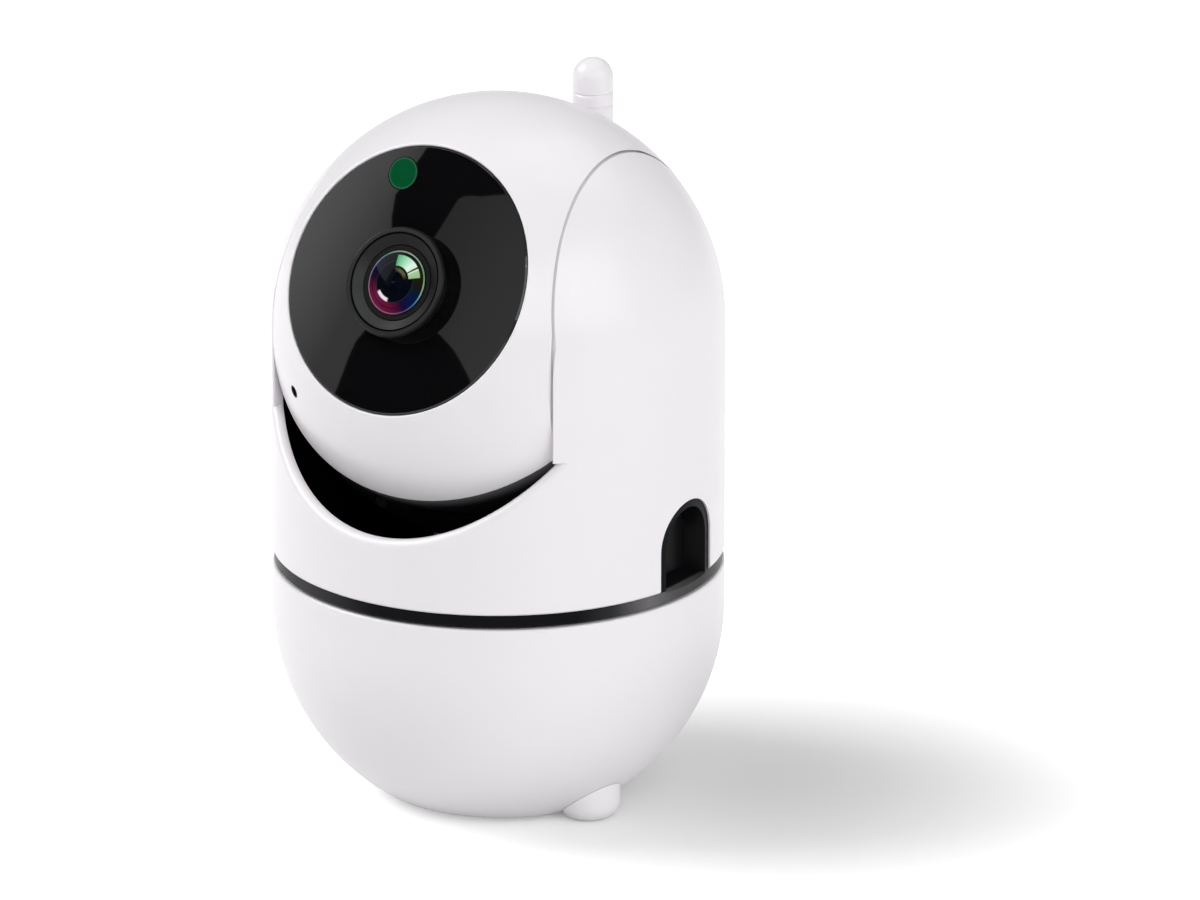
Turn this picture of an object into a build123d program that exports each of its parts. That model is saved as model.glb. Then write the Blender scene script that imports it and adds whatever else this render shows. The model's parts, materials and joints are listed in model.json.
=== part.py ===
from build123d import *
from math import acos, asin, cos, degrees, pi, radians, sin, sqrt
import os

# Egg-shaped pan-and-tilt camera. Millimetres, +Z up, front towards -Y.
# The origin is on the pan axis, on the plane that the feet stand on.

# ---------------------------------------------------------------- driving dimensions
# Outer form
body_radius = 36.0  # bowl, upper body and dome
shell_wall = 1.8
foot_drop = 0.8  # feet below the flat of the bowl
bowl_cut = 5.5  # what the flat takes off the round of the bowl
bowl_collar = 6.9  # straight collar above that centre
pan_gap = 0.3  # running gap between bowl and pan ring
ring_height = 2.1
ring_inset = 0.3  # ring face behind the body face
head_clearance = 1.3  # lowest point of the head's ball above the pan ring

# Head and tilt
tilt_setback = 1.5  # tilt axis behind the pan axis
tilt_rise = 4.25  # tilt axis above the centre of the dome
cheek_inset = 10.8  # rim of the round cheek discs inside the body face
side_slice = 9.8  # thickness of the body on each side of the head's slot
cheek_depth = 7.2  # floor of each cheek disc inside the slot's side
seam_gap = 0.35
rear_depth = 12.65  # parting plane of the rear shell in front of the back
face_pitch = 27.0  # degrees that the face looks up
plate_radius = 21.4
plate_thickness = 1.4
plate_crown = 0.5
plate_inset = 0.3
plate_seat = 1.0  # width of the ledge that the plate sits on
edge_pitch = 35.0  # lower edge plane of the head shell, degrees
edge_distance = 11.0
chin_step = 0.8  # chin surface behind the head surface
chin_rear = 6.0  # back of the chin, in front of the pan axis
card_lift = 11.4  # card slot above the bottom of the head's ball
card_board_margin = 3.45  # card board's width, less than the head's half width
core_inset = 4.9  # core inside the shells' inner face
core_wall = 1.6
core_front_depth = 16.0  # front of the core behind the body face
flange_inset = 0.5  # side flanges of the core, which the head shell seats on, inside the cheeks
trunnion_radius = 3.42

# Mouth
mouth_rise = 5.0
mouth_inset = 4.4  # radius of the mouth's lip, less than the body's
mouth_corner = 1.0
lip_round = 1.1
seam_round = 0.2  # edges along the seams beside the head
rim_ease = 0.25  # lower edges of the shells and of the pan ring
opening_round = 0.25  # edge of the opening for the face plate

# Side arches
arch_width = 14.4
arch_height = 13.6
arch_depth = 3.4
arch_rim = 0.9
arch_clearance = 0.1

# Lens
lens_drop = 1.0
bezel_radius = 7.8  # where the bezel passes through the face plate
bezel_flare = 1.0  # how much wider its front rim is
bezel_rise = 3.3
bezel_mouth = 6.1
bezel_dish = 0.9  # depth of the sloping ring inside the rim
glass_recess = 0.8  # edge of the front glass behind the rim
glass_edge = 0.9
glass_crown = 1.0
barrel_radius = 5.9
glass_radius = 5.15
window_radius = 2.65
window_x = -5.5
window_y = 16.3
holder_depth = 10.0  # front of the lens holder behind the body face
led_board_depth = 13.0  # back of the LED board behind it
image_board_depth = 19.0  # back of the image board behind it
image_board_margin = 3.6  # its sides inside the core's
led_board_margin = 2.1  # sides of the LED board inside the core's
led_circle_margin = 5.6  # circle of the LEDs inside the core's sides
mic_inset = 8.7  # microphone hole inside the outline of the head's ball
mic_angle = 227.5
mic_hole = 0.9

# Fits and clearances
running_fit = 0.08
seat_gap = 0.05
part_gap = 0.1

# Base interior
floor_thickness = 3.0
cover_radius = 15.6
cover_thickness = 1.4
cover_opening = 12.6
cover_screw_circle = 14.1
bracket_circle = 10.0
bracket_hole = 1.25
bracket_boss = 2.2
bracket_depth = 4.0
foot_radius = 5.0
foot_circle = 21.0
foot_angle = 76.0
foot_round = 2.6
foot_peg = 2.0
deck_thickness = 2.0
deck_ledge = 2.0
spigot_radius = 7.9
spigot_bore = 5.0
washer_radius = 12.0
washer_thickness = 0.4
retainer_radius = 10.5
retainer_thickness = 0.8
gear_module = 0.5
tooth_share = 0.40
pan_gear_teeth = 56
pan_pinion_teeth = 14
pan_gear_width = 2.05
turntable_inset = 9.0  # turntable inside the body face
turntable_ledge = 3.0  # flange beyond it
flange_thickness = 1.0
tilt_gear_teeth = 48
tilt_pinion_teeth = 12
tilt_gear_width = 1.8
motor_radius = 10.0
motor_length = 14.0
shaft_radius = 1.5
tilt_motor_clearance = 1.1  # between the tilt motor and the rim of its frame
tilt_motor_length = 7.6
tilt_shaft_radius = 0.75
driver_inset = 10.6  # middle of the driver board inside the rim of its frame
speaker_radius = 7.2
speaker_height = 4.0
socket_width = 7.6
socket_height = 2.9
socket_depth = 5.6
board_thickness = 1.2
socket_drop = 9.0  # socket below the deck
board_inset = 13.2  # middle of the socket board inside the wall
post_inset = 7.0  # its posts in front of its middle

# Antenna
antenna_radius = 3.3
antenna_inset = 8.5  # its axis in front of the back of the body
antenna_rise = 0.2  # its tip above the top of the dome
antenna_cap_length = 5.6
antenna_collar_length = 2.1
antenna_base_length = 12.0
antenna_bore = 1.0
antenna_groove = 0.25

# Screws
screw_radius = 1.0
screw_head = 1.9
screw_head_height = 1.1
screw_clearance = 0.06
deck_screw_inset = 3.0  # deck screws inside the wall
body_screw_inset = 3.9  # body screws inside the wall
body_screw_offset = 4.3  # and beyond the side of the arch

# ---------------------------------------------------------------- derived places
inner_radius = body_radius - shell_wall
bowl_depth = body_radius - bowl_cut
column_height = body_radius + head_clearance
flat_z = foot_drop
bowl_z = flat_z + bowl_depth
rim_z = bowl_z + bowl_collar
ring_z = rim_z + pan_gap
column_z = ring_z + ring_height
dome_z = column_z + column_height
tilt_z = dome_z + tilt_rise
deck_z = rim_z - 2.2
deck_screw_circle = inner_radius - deck_screw_inset
column_top = dome_z + body_radius + 1.0
slot_half_width = body_radius - side_slice
cheek_floor = slot_half_width - cheek_depth
cheek_radius = body_radius - cheek_inset
rear_split = body_radius - rear_depth
core_radius = inner_radius - core_inset
core_front = body_radius - core_front_depth
flange_radius = cheek_radius - flange_inset
mouth_radius = body_radius - mouth_inset
turntable_radius = body_radius - turntable_inset
turntable_flange = turntable_radius + turntable_ledge
antenna_setback = body_radius - antenna_inset
antenna_height = body_radius + antenna_rise
antenna_collar_top = antenna_height - antenna_cap_length
antenna_base_top = antenna_collar_top - antenna_collar_length
antenna_foot = antenna_base_top - antenna_base_length
head_half_width = slot_half_width - seam_gap
head_bore = cheek_radius + seam_gap
core_half_width = cheek_floor - 0.4
plate_distance = sqrt(body_radius**2 - plate_radius**2)
mic_radius = body_radius - mic_inset
frame_radius = inner_radius - part_gap
pan_centre = gear_module * (pan_gear_teeth + pan_pinion_teeth) / 2
tilt_centre = gear_module * (tilt_gear_teeth + tilt_pinion_teeth) / 2
far = 3 * body_radius
os.makedirs("parts", exist_ok=True)

dome_centre = Vector(0, 0, dome_z)
tilt_point = Vector(0, tilt_setback, tilt_z)
pitch = radians(face_pitch)
face_normal = Vector(0, -cos(pitch), sin(pitch))
face_up = Vector(0, sin(pitch), cos(pitch))
lens_centre = dome_centre - face_up * lens_drop
side_view = Plane(origin=(0, 0, dome_z), x_dir=(0, -1, 0), z_dir=(-1, 0, 0))


def face_plane(distance, centre=dome_centre):
    """Plane square to the face axis, that far in front of the dome centre; its Y points up the face."""
    return Plane(origin=centre + face_normal * distance, x_dir=(1, 0, 0), z_dir=face_normal)


def lens_section():
    """Plane through the lens axis; its X is the radius and its Y the distance along the axis."""
    return Plane(origin=lens_centre, x_dir=(1, 0, 0), z_dir=-face_up)


def side_plane(x):
    """Plane square to X at that x, centred on the tilt axis."""
    return Plane(origin=(x, tilt_setback, tilt_z), x_dir=(0, 1, 0), z_dir=(1, 0, 0))


def capsule(radius, low, ease=0.0):
    """Solid of the upper body: a cylinder from low up to the dome, and the dome; ease bevels its foot."""
    with BuildPart() as solid:
        with BuildSketch(Plane.XZ):
            with BuildLine():
                Line((0, low), (radius - ease, low))
                if ease > 0:
                    Line((radius - ease, low), (radius, low + ease))
                Line((radius, low + ease), (radius, dome_z))
                CenterArc((0, dome_z), radius, 0, 90)
                Line((0, dome_z + radius), (0, low))
            make_face()
        revolve(axis=Axis.Z)
    return solid.part


def ball(radius, half_width, ease=0.0):
    """Ball about the dome centre, cut to a slice that wide about the middle; ease rounds its rims."""
    with BuildPart() as solid:
        with BuildSketch(Plane(origin=dome_centre, x_dir=(1, 0, 0), z_dir=(0, -1, 0))) as profile:
            reach = sqrt(radius**2 - half_width**2)
            turn = degrees(acos(half_width / radius))
            with BuildLine():
                Line((-half_width, 0), (half_width, 0))
                Line((half_width, 0), (half_width, reach))
                CenterArc((0, 0), radius, turn, 180 - 2 * turn)
                Line((-half_width, reach), (-half_width, 0))
            make_face()
            if ease > 0:
                fillet(profile.vertices().group_by(Axis.Y)[-1], ease)
        revolve(axis=Axis(dome_centre, (1, 0, 0)))
    return solid.part


def drum(radius, half_width):
    """Ball about the tilt axis, cut flat at both sides."""
    with BuildPart() as solid:
        with BuildSketch(Plane(origin=tilt_point, x_dir=(1, 0, 0), z_dir=(0, -1, 0))):
            reach = sqrt(radius**2 - half_width**2)
            turn = degrees(acos(half_width / radius))
            with BuildLine():
                Line((-half_width, 0), (half_width, 0))
                Line((half_width, 0), (half_width, reach))
                CenterArc((0, 0), radius, turn, 180 - 2 * turn)
                Line((-half_width, reach), (-half_width, 0))
            make_face()
        revolve(axis=Axis(tilt_point, (1, 0, 0)))
    return solid.part


def cross_rod(radius, start, end):
    """Round rod along the tilt axis between two x values."""
    with BuildPart() as solid:
        with BuildSketch(side_plane(start)):
            Circle(radius)
        extrude(amount=end - start)
    return solid.part


def lower_region(offset, front):
    """What lies under the head shell's lower edge plane, that far beyond it, back to the front value."""
    tilt = radians(edge_pitch)
    top = -5.0
    edge_top = (edge_distance - offset - top * sin(tilt)) / cos(tilt)
    run = (far + top) / cos(tilt)
    with BuildPart() as solid:
        with BuildSketch(side_view):
            with BuildLine():
                Polyline(
                    (edge_top, top),
                    (edge_top + run * sin(tilt), top - run * cos(tilt)),
                    (front, top - run * cos(tilt)),
                    (front, top),
                    close=True,
                )
            make_face()
        extrude(amount=far, both=True)
    return solid.part


def crown_arc(radius, edge, rise):
    """Arc of a shallow dome on a revolved section, from its edge to its top on the axis."""
    sphere = (radius**2 + rise**2) / (2 * rise)
    turn = degrees(asin(radius / sphere))
    return CenterArc((0, edge + rise - sphere), sphere, 90 - turn, turn)


def gear(teeth, width, bore, plane, phase):
    """Spur gear with straight-sided teeth; phase turns it, in degrees."""
    pitch_radius = gear_module * teeth / 2
    root = pitch_radius - 1.2 * gear_module
    tip = pitch_radius + 0.9 * gear_module
    half_pitch = pi * gear_module * tooth_share / 2
    with BuildPart() as solid:
        with BuildSketch(plane):
            Circle(root)
            with PolarLocations(0, teeth, start_angle=phase):
                Polygon(
                    (root - 0.2, -1.5 * half_pitch),
                    (pitch_radius, -half_pitch),
                    (tip, -0.45 * half_pitch),
                    (tip, 0.45 * half_pitch),
                    (pitch_radius, half_pitch),
                    (root - 0.2, 1.5 * half_pitch),
                    align=None,
                )
            Circle(bore, mode=Mode.SUBTRACT)
        extrude(amount=width)
    return solid.part


# ---------------------------------------------------------------- base
flat_radius = sqrt(body_radius**2 - bowl_depth**2)
floor_z = flat_z + floor_thickness
floor_radius = sqrt(inner_radius**2 - (bowl_z - floor_z) ** 2)
outer_turn = degrees(asin(bowl_depth / body_radius))
inner_turn = degrees(asin((bowl_z - floor_z) / inner_radius))
ledge_z = deck_z - deck_thickness
socket_z = deck_z - deck_thickness - socket_drop
foot_places = {
    "foot_left": 270 - foot_angle,
    "foot_right": 270 + foot_angle,
    "foot_rear": 90,
}
foot_spots = [
    (foot_circle * cos(radians(angle)), foot_circle * sin(radians(angle)))
    for angle in foot_places.values()
]

with BuildPart() as base_bowl:
    with BuildSketch(Plane.XZ):
        with BuildLine():
            Line((0, flat_z), (flat_radius, flat_z))
            CenterArc((0, bowl_z), body_radius, -outer_turn, outer_turn)
            Line((body_radius, bowl_z), (body_radius, rim_z))
            Line((body_radius, rim_z), (inner_radius, rim_z))
            Line((inner_radius, rim_z), (inner_radius, bowl_z))
            CenterArc((0, bowl_z), inner_radius, 0, -inner_turn)
            Line((floor_radius, floor_z), (0, floor_z))
            Line((0, floor_z), (0, flat_z))
        make_face()
    revolve(axis=Axis.Z)
    bowl_edges = base_bowl.edges().filter_by(GeomType.CIRCLE)
    fillet(bowl_edges.group_by(Axis.Z)[-1].sort_by(SortBy.RADIUS)[-1], 0.4)
    fillet(bowl_edges.group_by(Axis.Z)[0], 1.0)
    # Ledge that the deck rests on
    with BuildSketch(Plane.XY.offset(ledge_z)):
        Circle(inner_radius + shell_wall / 2)
        Circle(inner_radius - deck_ledge, mode=Mode.SUBTRACT)
    extrude(amount=-deck_ledge)
    # Bosses for the deck screws
    with BuildSketch(Plane.XY.offset(ledge_z)):
        with PolarLocations(deck_screw_circle, 3, start_angle=30):
            Circle(2.4)
    extrude(amount=-7)
    with BuildSketch(Plane.XY.offset(ledge_z)):
        with PolarLocations(deck_screw_circle, 3, start_angle=30):
            Circle(screw_radius + screw_clearance)
    extrude(amount=-6, mode=Mode.SUBTRACT)
    # Recess and opening for the bottom cover
    with BuildSketch(Plane.XY.offset(flat_z)):
        Circle(cover_radius + part_gap)
    extrude(amount=cover_thickness, mode=Mode.SUBTRACT)
    with BuildSketch(Plane.XY.offset(flat_z)):
        Circle(cover_opening)
    extrude(amount=floor_thickness, mode=Mode.SUBTRACT)
    with BuildSketch(Plane.XY.offset(flat_z)):
        with PolarLocations(cover_screw_circle, 3, start_angle=90):
            Circle(screw_radius + screw_clearance)
    extrude(amount=floor_thickness, mode=Mode.SUBTRACT)
    # Peg holes of the feet
    with BuildSketch(Plane.XY.offset(flat_z)):
        with Locations(*foot_spots):
            Circle(foot_peg + seat_gap)
    extrude(amount=8, mode=Mode.SUBTRACT)
    # Socket opening at the rear
    with BuildSketch(Plane.XZ.offset(-body_radius - 1)):
        with Locations((0, socket_z)):
            RectangleRounded(socket_width + 1.6, socket_height + 1.6, 1.2)
    extrude(amount=6, mode=Mode.SUBTRACT)
base_bowl.part.label = "base_bowl"
export_step(base_bowl.part, "parts/base_bowl.step")

with BuildPart() as bottom_cover:
    with BuildSketch(Plane.XY.offset(flat_z)):
        Circle(cover_radius)
    extrude(amount=cover_thickness)
    with BuildSketch(Plane.XY.offset(flat_z)):
        with PolarLocations(bracket_circle, 3, start_angle=30):
            Circle(bracket_boss)
    extrude(amount=bracket_depth + 1)
    with BuildSketch(Plane.XY.offset(flat_z)):
        Circle(speaker_radius + 0.5)
        Circle(speaker_radius - 0.7, mode=Mode.SUBTRACT)
    extrude(amount=cover_thickness + 0.6)
    with BuildSketch(Plane.XY.offset(flat_z)):
        with PolarLocations(bracket_circle, 3, start_angle=30):
            Circle(bracket_hole)
    extrude(amount=bracket_depth, mode=Mode.SUBTRACT)
    with BuildSketch(Plane.XY.offset(flat_z)):
        with PolarLocations(4.6, 8):
            Circle(0.7)
        with PolarLocations(2.3, 4, start_angle=22.5):
            Circle(0.7)
    extrude(amount=cover_thickness, mode=Mode.SUBTRACT)
    with BuildSketch(Plane.XY.offset(flat_z)):
        with PolarLocations(cover_screw_circle, 3, start_angle=90):
            Circle(screw_radius + screw_clearance)
    extrude(amount=cover_thickness, mode=Mode.SUBTRACT)
bottom_cover.part.label = "bottom_cover"
export_step(bottom_cover.part, "parts/bottom_cover.step")

with BuildPart() as bottom_screws:
    with BuildSketch(Plane.XY.offset(flat_z)):
        with PolarLocations(cover_screw_circle, 3, start_angle=90):
            Circle(1.45)
    extrude(amount=-0.5)
    with BuildSketch(Plane.XY.offset(flat_z)):
        with PolarLocations(cover_screw_circle, 3, start_angle=90):
            Circle(screw_radius)
    extrude(amount=floor_thickness + 1.5)
bottom_screws.part.label = "bottom_screws"
export_step(bottom_screws.part, "parts/bottom_screws.step")

bowl_ball = Pos(0, 0, bowl_z) * Sphere(body_radius + seat_gap)
for foot_name, foot_direction in foot_places.items():
    foot_x = foot_circle * cos(radians(foot_direction))
    foot_y = foot_circle * sin(radians(foot_direction))
    with BuildPart() as foot:
        with BuildSketch(Plane.XY):
            with Locations((foot_x, foot_y)):
                Circle(foot_radius)
        extrude(amount=9)
        fillet(foot.edges().group_by(Axis.Z)[0], foot_round)
        with BuildSketch(Plane.XY.offset(flat_z - seat_gap)):
            Circle(flat_radius + 0.8)
        extrude(amount=9, mode=Mode.SUBTRACT)
        add(bowl_ball, mode=Mode.SUBTRACT)
        with BuildSketch(Plane.XY.offset(flat_z - 0.4)):
            with Locations((foot_x, foot_y)):
                Circle(foot_peg)
        extrude(amount=6.5)
    foot.part.label = foot_name
    export_step(foot.part, f"parts/{foot_name}.step")

post_x = 7.0
board_y = inner_radius - board_inset
post_y = board_y - post_inset
board_z = socket_z - socket_height / 2 - board_thickness
with BuildPart() as base_deck:
    with BuildSketch(Plane.XY.offset(ledge_z)):
        Circle(inner_radius - part_gap)
    extrude(amount=deck_thickness)
    with BuildSketch(Plane.XY.offset(deck_z)):
        Circle(spigot_radius)
    extrude(amount=column_z + part_gap + retainer_thickness - deck_z)
    with BuildSketch(Plane.XY.offset(ledge_z)):
        with Locations((-post_x, post_y), (post_x, post_y)):
            Circle(2.0)
    extrude(amount=board_z + board_thickness - ledge_z)
    with BuildSketch(Plane.XY.offset(ledge_z)):
        Circle(spigot_bore)
    extrude(amount=12, mode=Mode.SUBTRACT)
    with BuildSketch(Plane.XY.offset(ledge_z)):
        with Locations((-pan_centre, 0)):
            Circle(3.0)
        with PolarLocations(deck_screw_circle, 3, start_angle=30):
            Circle(screw_radius + screw_clearance)
    extrude(amount=deck_thickness, mode=Mode.SUBTRACT)
base_deck.part.label = "base_deck"
export_step(base_deck.part, "parts/base_deck.step")

with BuildPart() as deck_screws:
    for screw_angle in (30, 150, 270):
        turn = radians(screw_angle)
        spot = (deck_screw_circle * cos(turn), deck_screw_circle * sin(turn))
        with BuildSketch(Plane.XY.offset(deck_z)):
            with Locations(spot):
                Circle(screw_head)
        extrude(amount=screw_head_height)
        with BuildSketch(Plane.XY.offset(deck_z)):
            with Locations(spot):
                Circle(screw_radius)
        extrude(amount=-7)
deck_screws.part.label = "deck_screws"
export_step(deck_screws.part, "parts/deck_screws.step")

with BuildPart() as pan_motor:
    with BuildSketch(Plane.XY.offset(ledge_z)):
        with Locations((-pan_centre, 0)):
            Circle(motor_radius)
    extrude(amount=-motor_length)
    with BuildSketch(Plane.XY.offset(ledge_z)):
        with Locations((-pan_centre, 0)):
            SlotOverall(29, 6, rotation=90)
    extrude(amount=-0.8)
    with BuildSketch(Plane.XY.offset(ledge_z - motor_length + 2)):
        with Locations((-pan_centre + motor_radius, 0)):
            Rectangle(5, 9)
    extrude(amount=6)
    with BuildSketch(Plane.XY.offset(ledge_z)):
        with Locations((-pan_centre, 0)):
            Circle(2.8)
    extrude(amount=1.5)
    with BuildSketch(Plane.XY.offset(ledge_z + 1.5)):
        with Locations((-pan_centre, 0)):
            Circle(shaft_radius + running_fit)
    extrude(amount=-6, mode=Mode.SUBTRACT)
pan_motor.part.label = "pan_motor"
export_step(pan_motor.part, "parts/pan_motor.step")

with BuildPart() as pan_washer:
    with BuildSketch(Plane.XY.offset(deck_z)):
        Circle(washer_radius)
        Circle(spigot_radius + running_fit, mode=Mode.SUBTRACT)
    extrude(amount=washer_thickness)
pan_washer.part.label = "pan_washer"
export_step(pan_washer.part, "parts/pan_washer.step")

with BuildPart() as pan_retainer:
    with BuildSketch(Plane.XY.offset(column_z + part_gap)):
        Circle(retainer_radius)
        Circle(spigot_radius + 0.02, mode=Mode.SUBTRACT)
    extrude(amount=retainer_thickness)
pan_retainer.part.label = "pan_retainer"
export_step(pan_retainer.part, "parts/pan_retainer.step")

with BuildPart() as usb_board:
    with BuildSketch(Plane.XY.offset(board_z)):
        with Locations((0, board_y)):
            Rectangle(20, 20)
    extrude(amount=board_thickness)
    with BuildSketch(Plane.XY.offset(board_z + board_thickness)):
        with Locations((0, board_y - 2)):
            Rectangle(6, 5)
        with Locations((0, board_y - 7.5)):
            Rectangle(3, 3)
    extrude(amount=1.0)
usb_board.part.label = "usb_board"
export_step(usb_board.part, "parts/usb_board.step")

with BuildPart() as usb_socket:
    with BuildSketch(Plane.XZ.offset(-(inner_radius + 0.6))):
        with Locations((0, socket_z)):
            RectangleRounded(socket_width, socket_height, 0.8)
    extrude(amount=socket_depth)
    with BuildSketch(Plane.XZ.offset(-(inner_radius + 0.6))):
        with Locations((0, socket_z)):
            RectangleRounded(socket_width - 0.7, socket_height - 0.7, 0.6)
    extrude(amount=socket_depth - 0.8, mode=Mode.SUBTRACT)
    with BuildSketch(Plane.XZ.offset(-(inner_radius - 0.4))):
        with Locations((0, socket_z + 0.3)):
            Rectangle(socket_width - 2.6, 0.6)
    extrude(amount=socket_depth - 1.5)
usb_socket.part.label = "usb_socket"
export_step(usb_socket.part, "parts/usb_socket.step")

speaker_z = flat_z + cover_thickness + 0.6
with BuildPart() as speaker:
    with BuildSketch(Plane.XY.offset(speaker_z)):
        Circle(speaker_radius)
    extrude(amount=speaker_height / 2)
    with BuildSketch(Plane.XY.offset(speaker_z)):
        Circle(speaker_radius - 1.6)
    extrude(amount=speaker_height)
    with BuildSketch(Plane.XY.offset(speaker_z)):
        Circle(speaker_radius - 0.8)
    extrude(amount=0.8, taper=35, mode=Mode.SUBTRACT)
speaker.part.label = "speaker"
export_step(speaker.part, "parts/speaker.step")

# ---------------------------------------------------------------- pan drive
gear_z = deck_z + washer_thickness + seat_gap
with BuildPart() as pan_pinion:
    add(
        gear(
            pan_pinion_teeth,
            pan_gear_width - 0.2,
            shaft_radius + 0.02,
            Plane(origin=(-pan_centre, 0, gear_z), z_dir=(0, 0, 1)),
            180 / pan_pinion_teeth,
        )
    )
pan_pinion.part.label = "pan_pinion"
export_step(pan_pinion.part, "parts/pan_pinion.step")

with BuildPart() as pan_motor_shaft:
    with BuildSketch(Plane.XY.offset(ledge_z - 4.4)):
        with Locations((-pan_centre, 0)):
            Circle(shaft_radius)
    extrude(amount=deck_z + pan_gear_width + 0.1 - (ledge_z - 4.4))
pan_motor_shaft.part.label = "pan_motor_shaft"
export_step(pan_motor_shaft.part, "parts/pan_motor_shaft.step")

peg_circle = 11.0
with BuildPart() as pan_gear:
    add(
        gear(
            pan_gear_teeth,
            ring_z - gear_z,
            spigot_radius + running_fit,
            Plane(origin=(0, 0, gear_z), z_dir=(0, 0, 1)),
            180,
        )
    )
    with BuildSketch(Plane.XY.offset(ring_z)):
        with PolarLocations(peg_circle, 3):
            Circle(1.0 + seat_gap)
    extrude(amount=-1.5, mode=Mode.SUBTRACT)
pan_gear.part.label = "pan_gear"
export_step(pan_gear.part, "parts/pan_gear.step")

with BuildPart() as turntable:
    with BuildSketch(Plane.XY.offset(ring_z)):
        Circle(turntable_flange)
    extrude(amount=flange_thickness)
    with BuildSketch(Plane.XY.offset(ring_z)):
        Circle(turntable_radius - seat_gap)
    extrude(amount=ring_height)
    with BuildSketch(Plane.XY.offset(ring_z)):
        Circle(spigot_radius + running_fit)
    extrude(amount=ring_height, mode=Mode.SUBTRACT)
    with BuildSketch(Plane.XY.offset(ring_z)):
        with PolarLocations(peg_circle, 3):
            Circle(1.0)
    extrude(amount=-1.4)
turntable.part.label = "turntable"
export_step(turntable.part, "parts/turntable.step")

# ---------------------------------------------------------------- pan ring with side arches
body_screw_x = inner_radius - body_screw_inset
body_screw_y = arch_width / 2 + body_screw_offset
body_screw_spots = [(x, y) for x in (body_screw_x, -body_screw_x) for y in (body_screw_y, -body_screw_y)]


def arch_profile(side, inset, drop):
    """Arch outline on the side of the body, moved in by inset; its foot is drop below the column."""
    half = arch_width / 2 - inset
    top = column_z + arch_height - inset - half
    with BuildSketch(Plane(origin=(side * far, 0, 0), x_dir=(0, side, 0), z_dir=(side, 0, 0))) as outline:
        with BuildLine():
            Line((-half, column_z - drop), (half, column_z - drop))
            Line((half, column_z - drop), (half, top))
            CenterArc((0, top), half, 0, 180)
            Line((-half, top), (-half, column_z - drop))
        make_face()
    return outline.sketch


ring_radius = body_radius - ring_inset
cup_back = inner_radius - 3.0
ring_tube = Pos(0, 0, dome_z / 2) * Cylinder(ring_radius, dome_z * 1.5)
with BuildPart() as arch_cups:
    for side in (1, -1):
        extrude(arch_profile(side, arch_clearance, 0.0), amount=-(far - cup_back))
    add(ring_tube, mode=Mode.INTERSECT)
with BuildPart() as arch_pockets:
    for side in (1, -1):
        arch_plane = Plane(origin=(side * (body_radius + 0.6), 0, 0), x_dir=(0, side, 0), z_dir=(side, 0, 0))
        with BuildSketch(arch_plane):
            half = arch_width / 2 - arch_rim
            top = column_z + arch_height - arch_rim - half
            with BuildLine():
                Line((-half, ring_z + 1.2), (half, ring_z + 1.2))
                Line((half, ring_z + 1.2), (half, top))
                CenterArc((0, top), half, 0, 180)
                Line((-half, top), (-half, ring_z + 1.2))
            make_face()
        extrude(amount=-(arch_depth + 0.9), taper=24)
with BuildPart() as pan_ring:
    with BuildSketch(Plane.XZ):
        with BuildLine():
            Polyline(
                (turntable_radius, column_z),
                (ring_radius, column_z),
                (ring_radius, ring_z + rim_ease),
                (ring_radius - rim_ease, ring_z),
                (turntable_flange + seat_gap, ring_z),
                (turntable_flange + seat_gap, ring_z + flange_thickness + seat_gap),
                (turntable_radius, ring_z + flange_thickness + seat_gap),
                close=True,
            )
        make_face()
    revolve(axis=Axis.Z)
    add(arch_cups.part)
    add(arch_pockets.part, mode=Mode.SUBTRACT)
    with BuildSketch(Plane.XY.offset(ring_z)):
        with Locations(*body_screw_spots):
            Circle(screw_head + 0.1)
    extrude(amount=1.2, mode=Mode.SUBTRACT)
    with BuildSketch(Plane.XY.offset(ring_z)):
        with Locations(*body_screw_spots):
            Circle(screw_radius + screw_clearance)
    extrude(amount=ring_height, mode=Mode.SUBTRACT)
pan_ring.part.label = "pan_ring"
export_step(pan_ring.part, "parts/pan_ring.step")

# ---------------------------------------------------------------- upper body shells
upper_outer = capsule(body_radius, column_z, rim_ease)
upper_inner = capsule(inner_radius, column_z - 1)
frame_envelope = capsule(frame_radius, column_z)
cheek_rods = cross_rod(cheek_radius, cheek_floor, far) + cross_rod(cheek_radius, -far, -cheek_floor)

mouth_z = dome_z + mouth_rise
corner_z = mouth_z - sqrt(mouth_radius**2 - slot_half_width**2)
with BuildPart() as head_slot:
    with BuildSketch(Plane.XZ) as slot_outline:
        with BuildLine():
            Line((-slot_half_width, column_top), (-slot_half_width, corner_z))
            ThreePointArc(
                (-slot_half_width, corner_z),
                (0, mouth_z - mouth_radius),
                (slot_half_width, corner_z),
            )
            Line((slot_half_width, corner_z), (slot_half_width, column_top))
            Line((slot_half_width, column_top), (-slot_half_width, column_top))
        make_face()
        fillet(slot_outline.vertices().group_by(Axis.Y)[0], mouth_corner)
    extrude(amount=far)
with BuildPart() as top_slot:
    with BuildSketch(Plane.XZ):
        with Locations((0, (dome_z + column_top) / 2)):
            Rectangle(2 * slot_half_width, column_top - dome_z)
    extrude(amount=-far)


def on_lip(edge):
    """True for the outer edges of the slot that the head looks out of."""
    spot = edge @ 0.5
    height = max(spot.Z - dome_z, 0)
    on_body = abs(sqrt(spot.X**2 + spot.Y**2 + height**2) - body_radius) < 0.02
    return on_body and abs(spot.X) < slot_half_width + 0.02 and spot.Y < -0.1 and spot.Z > column_z + 1


def on_seam(edge):
    """True for the long edges of the body's side slices, above their foot."""
    spot = edge @ 0.5
    return abs(abs(spot.X) - slot_half_width) < 0.02 and spot.Z > column_z + 1


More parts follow.
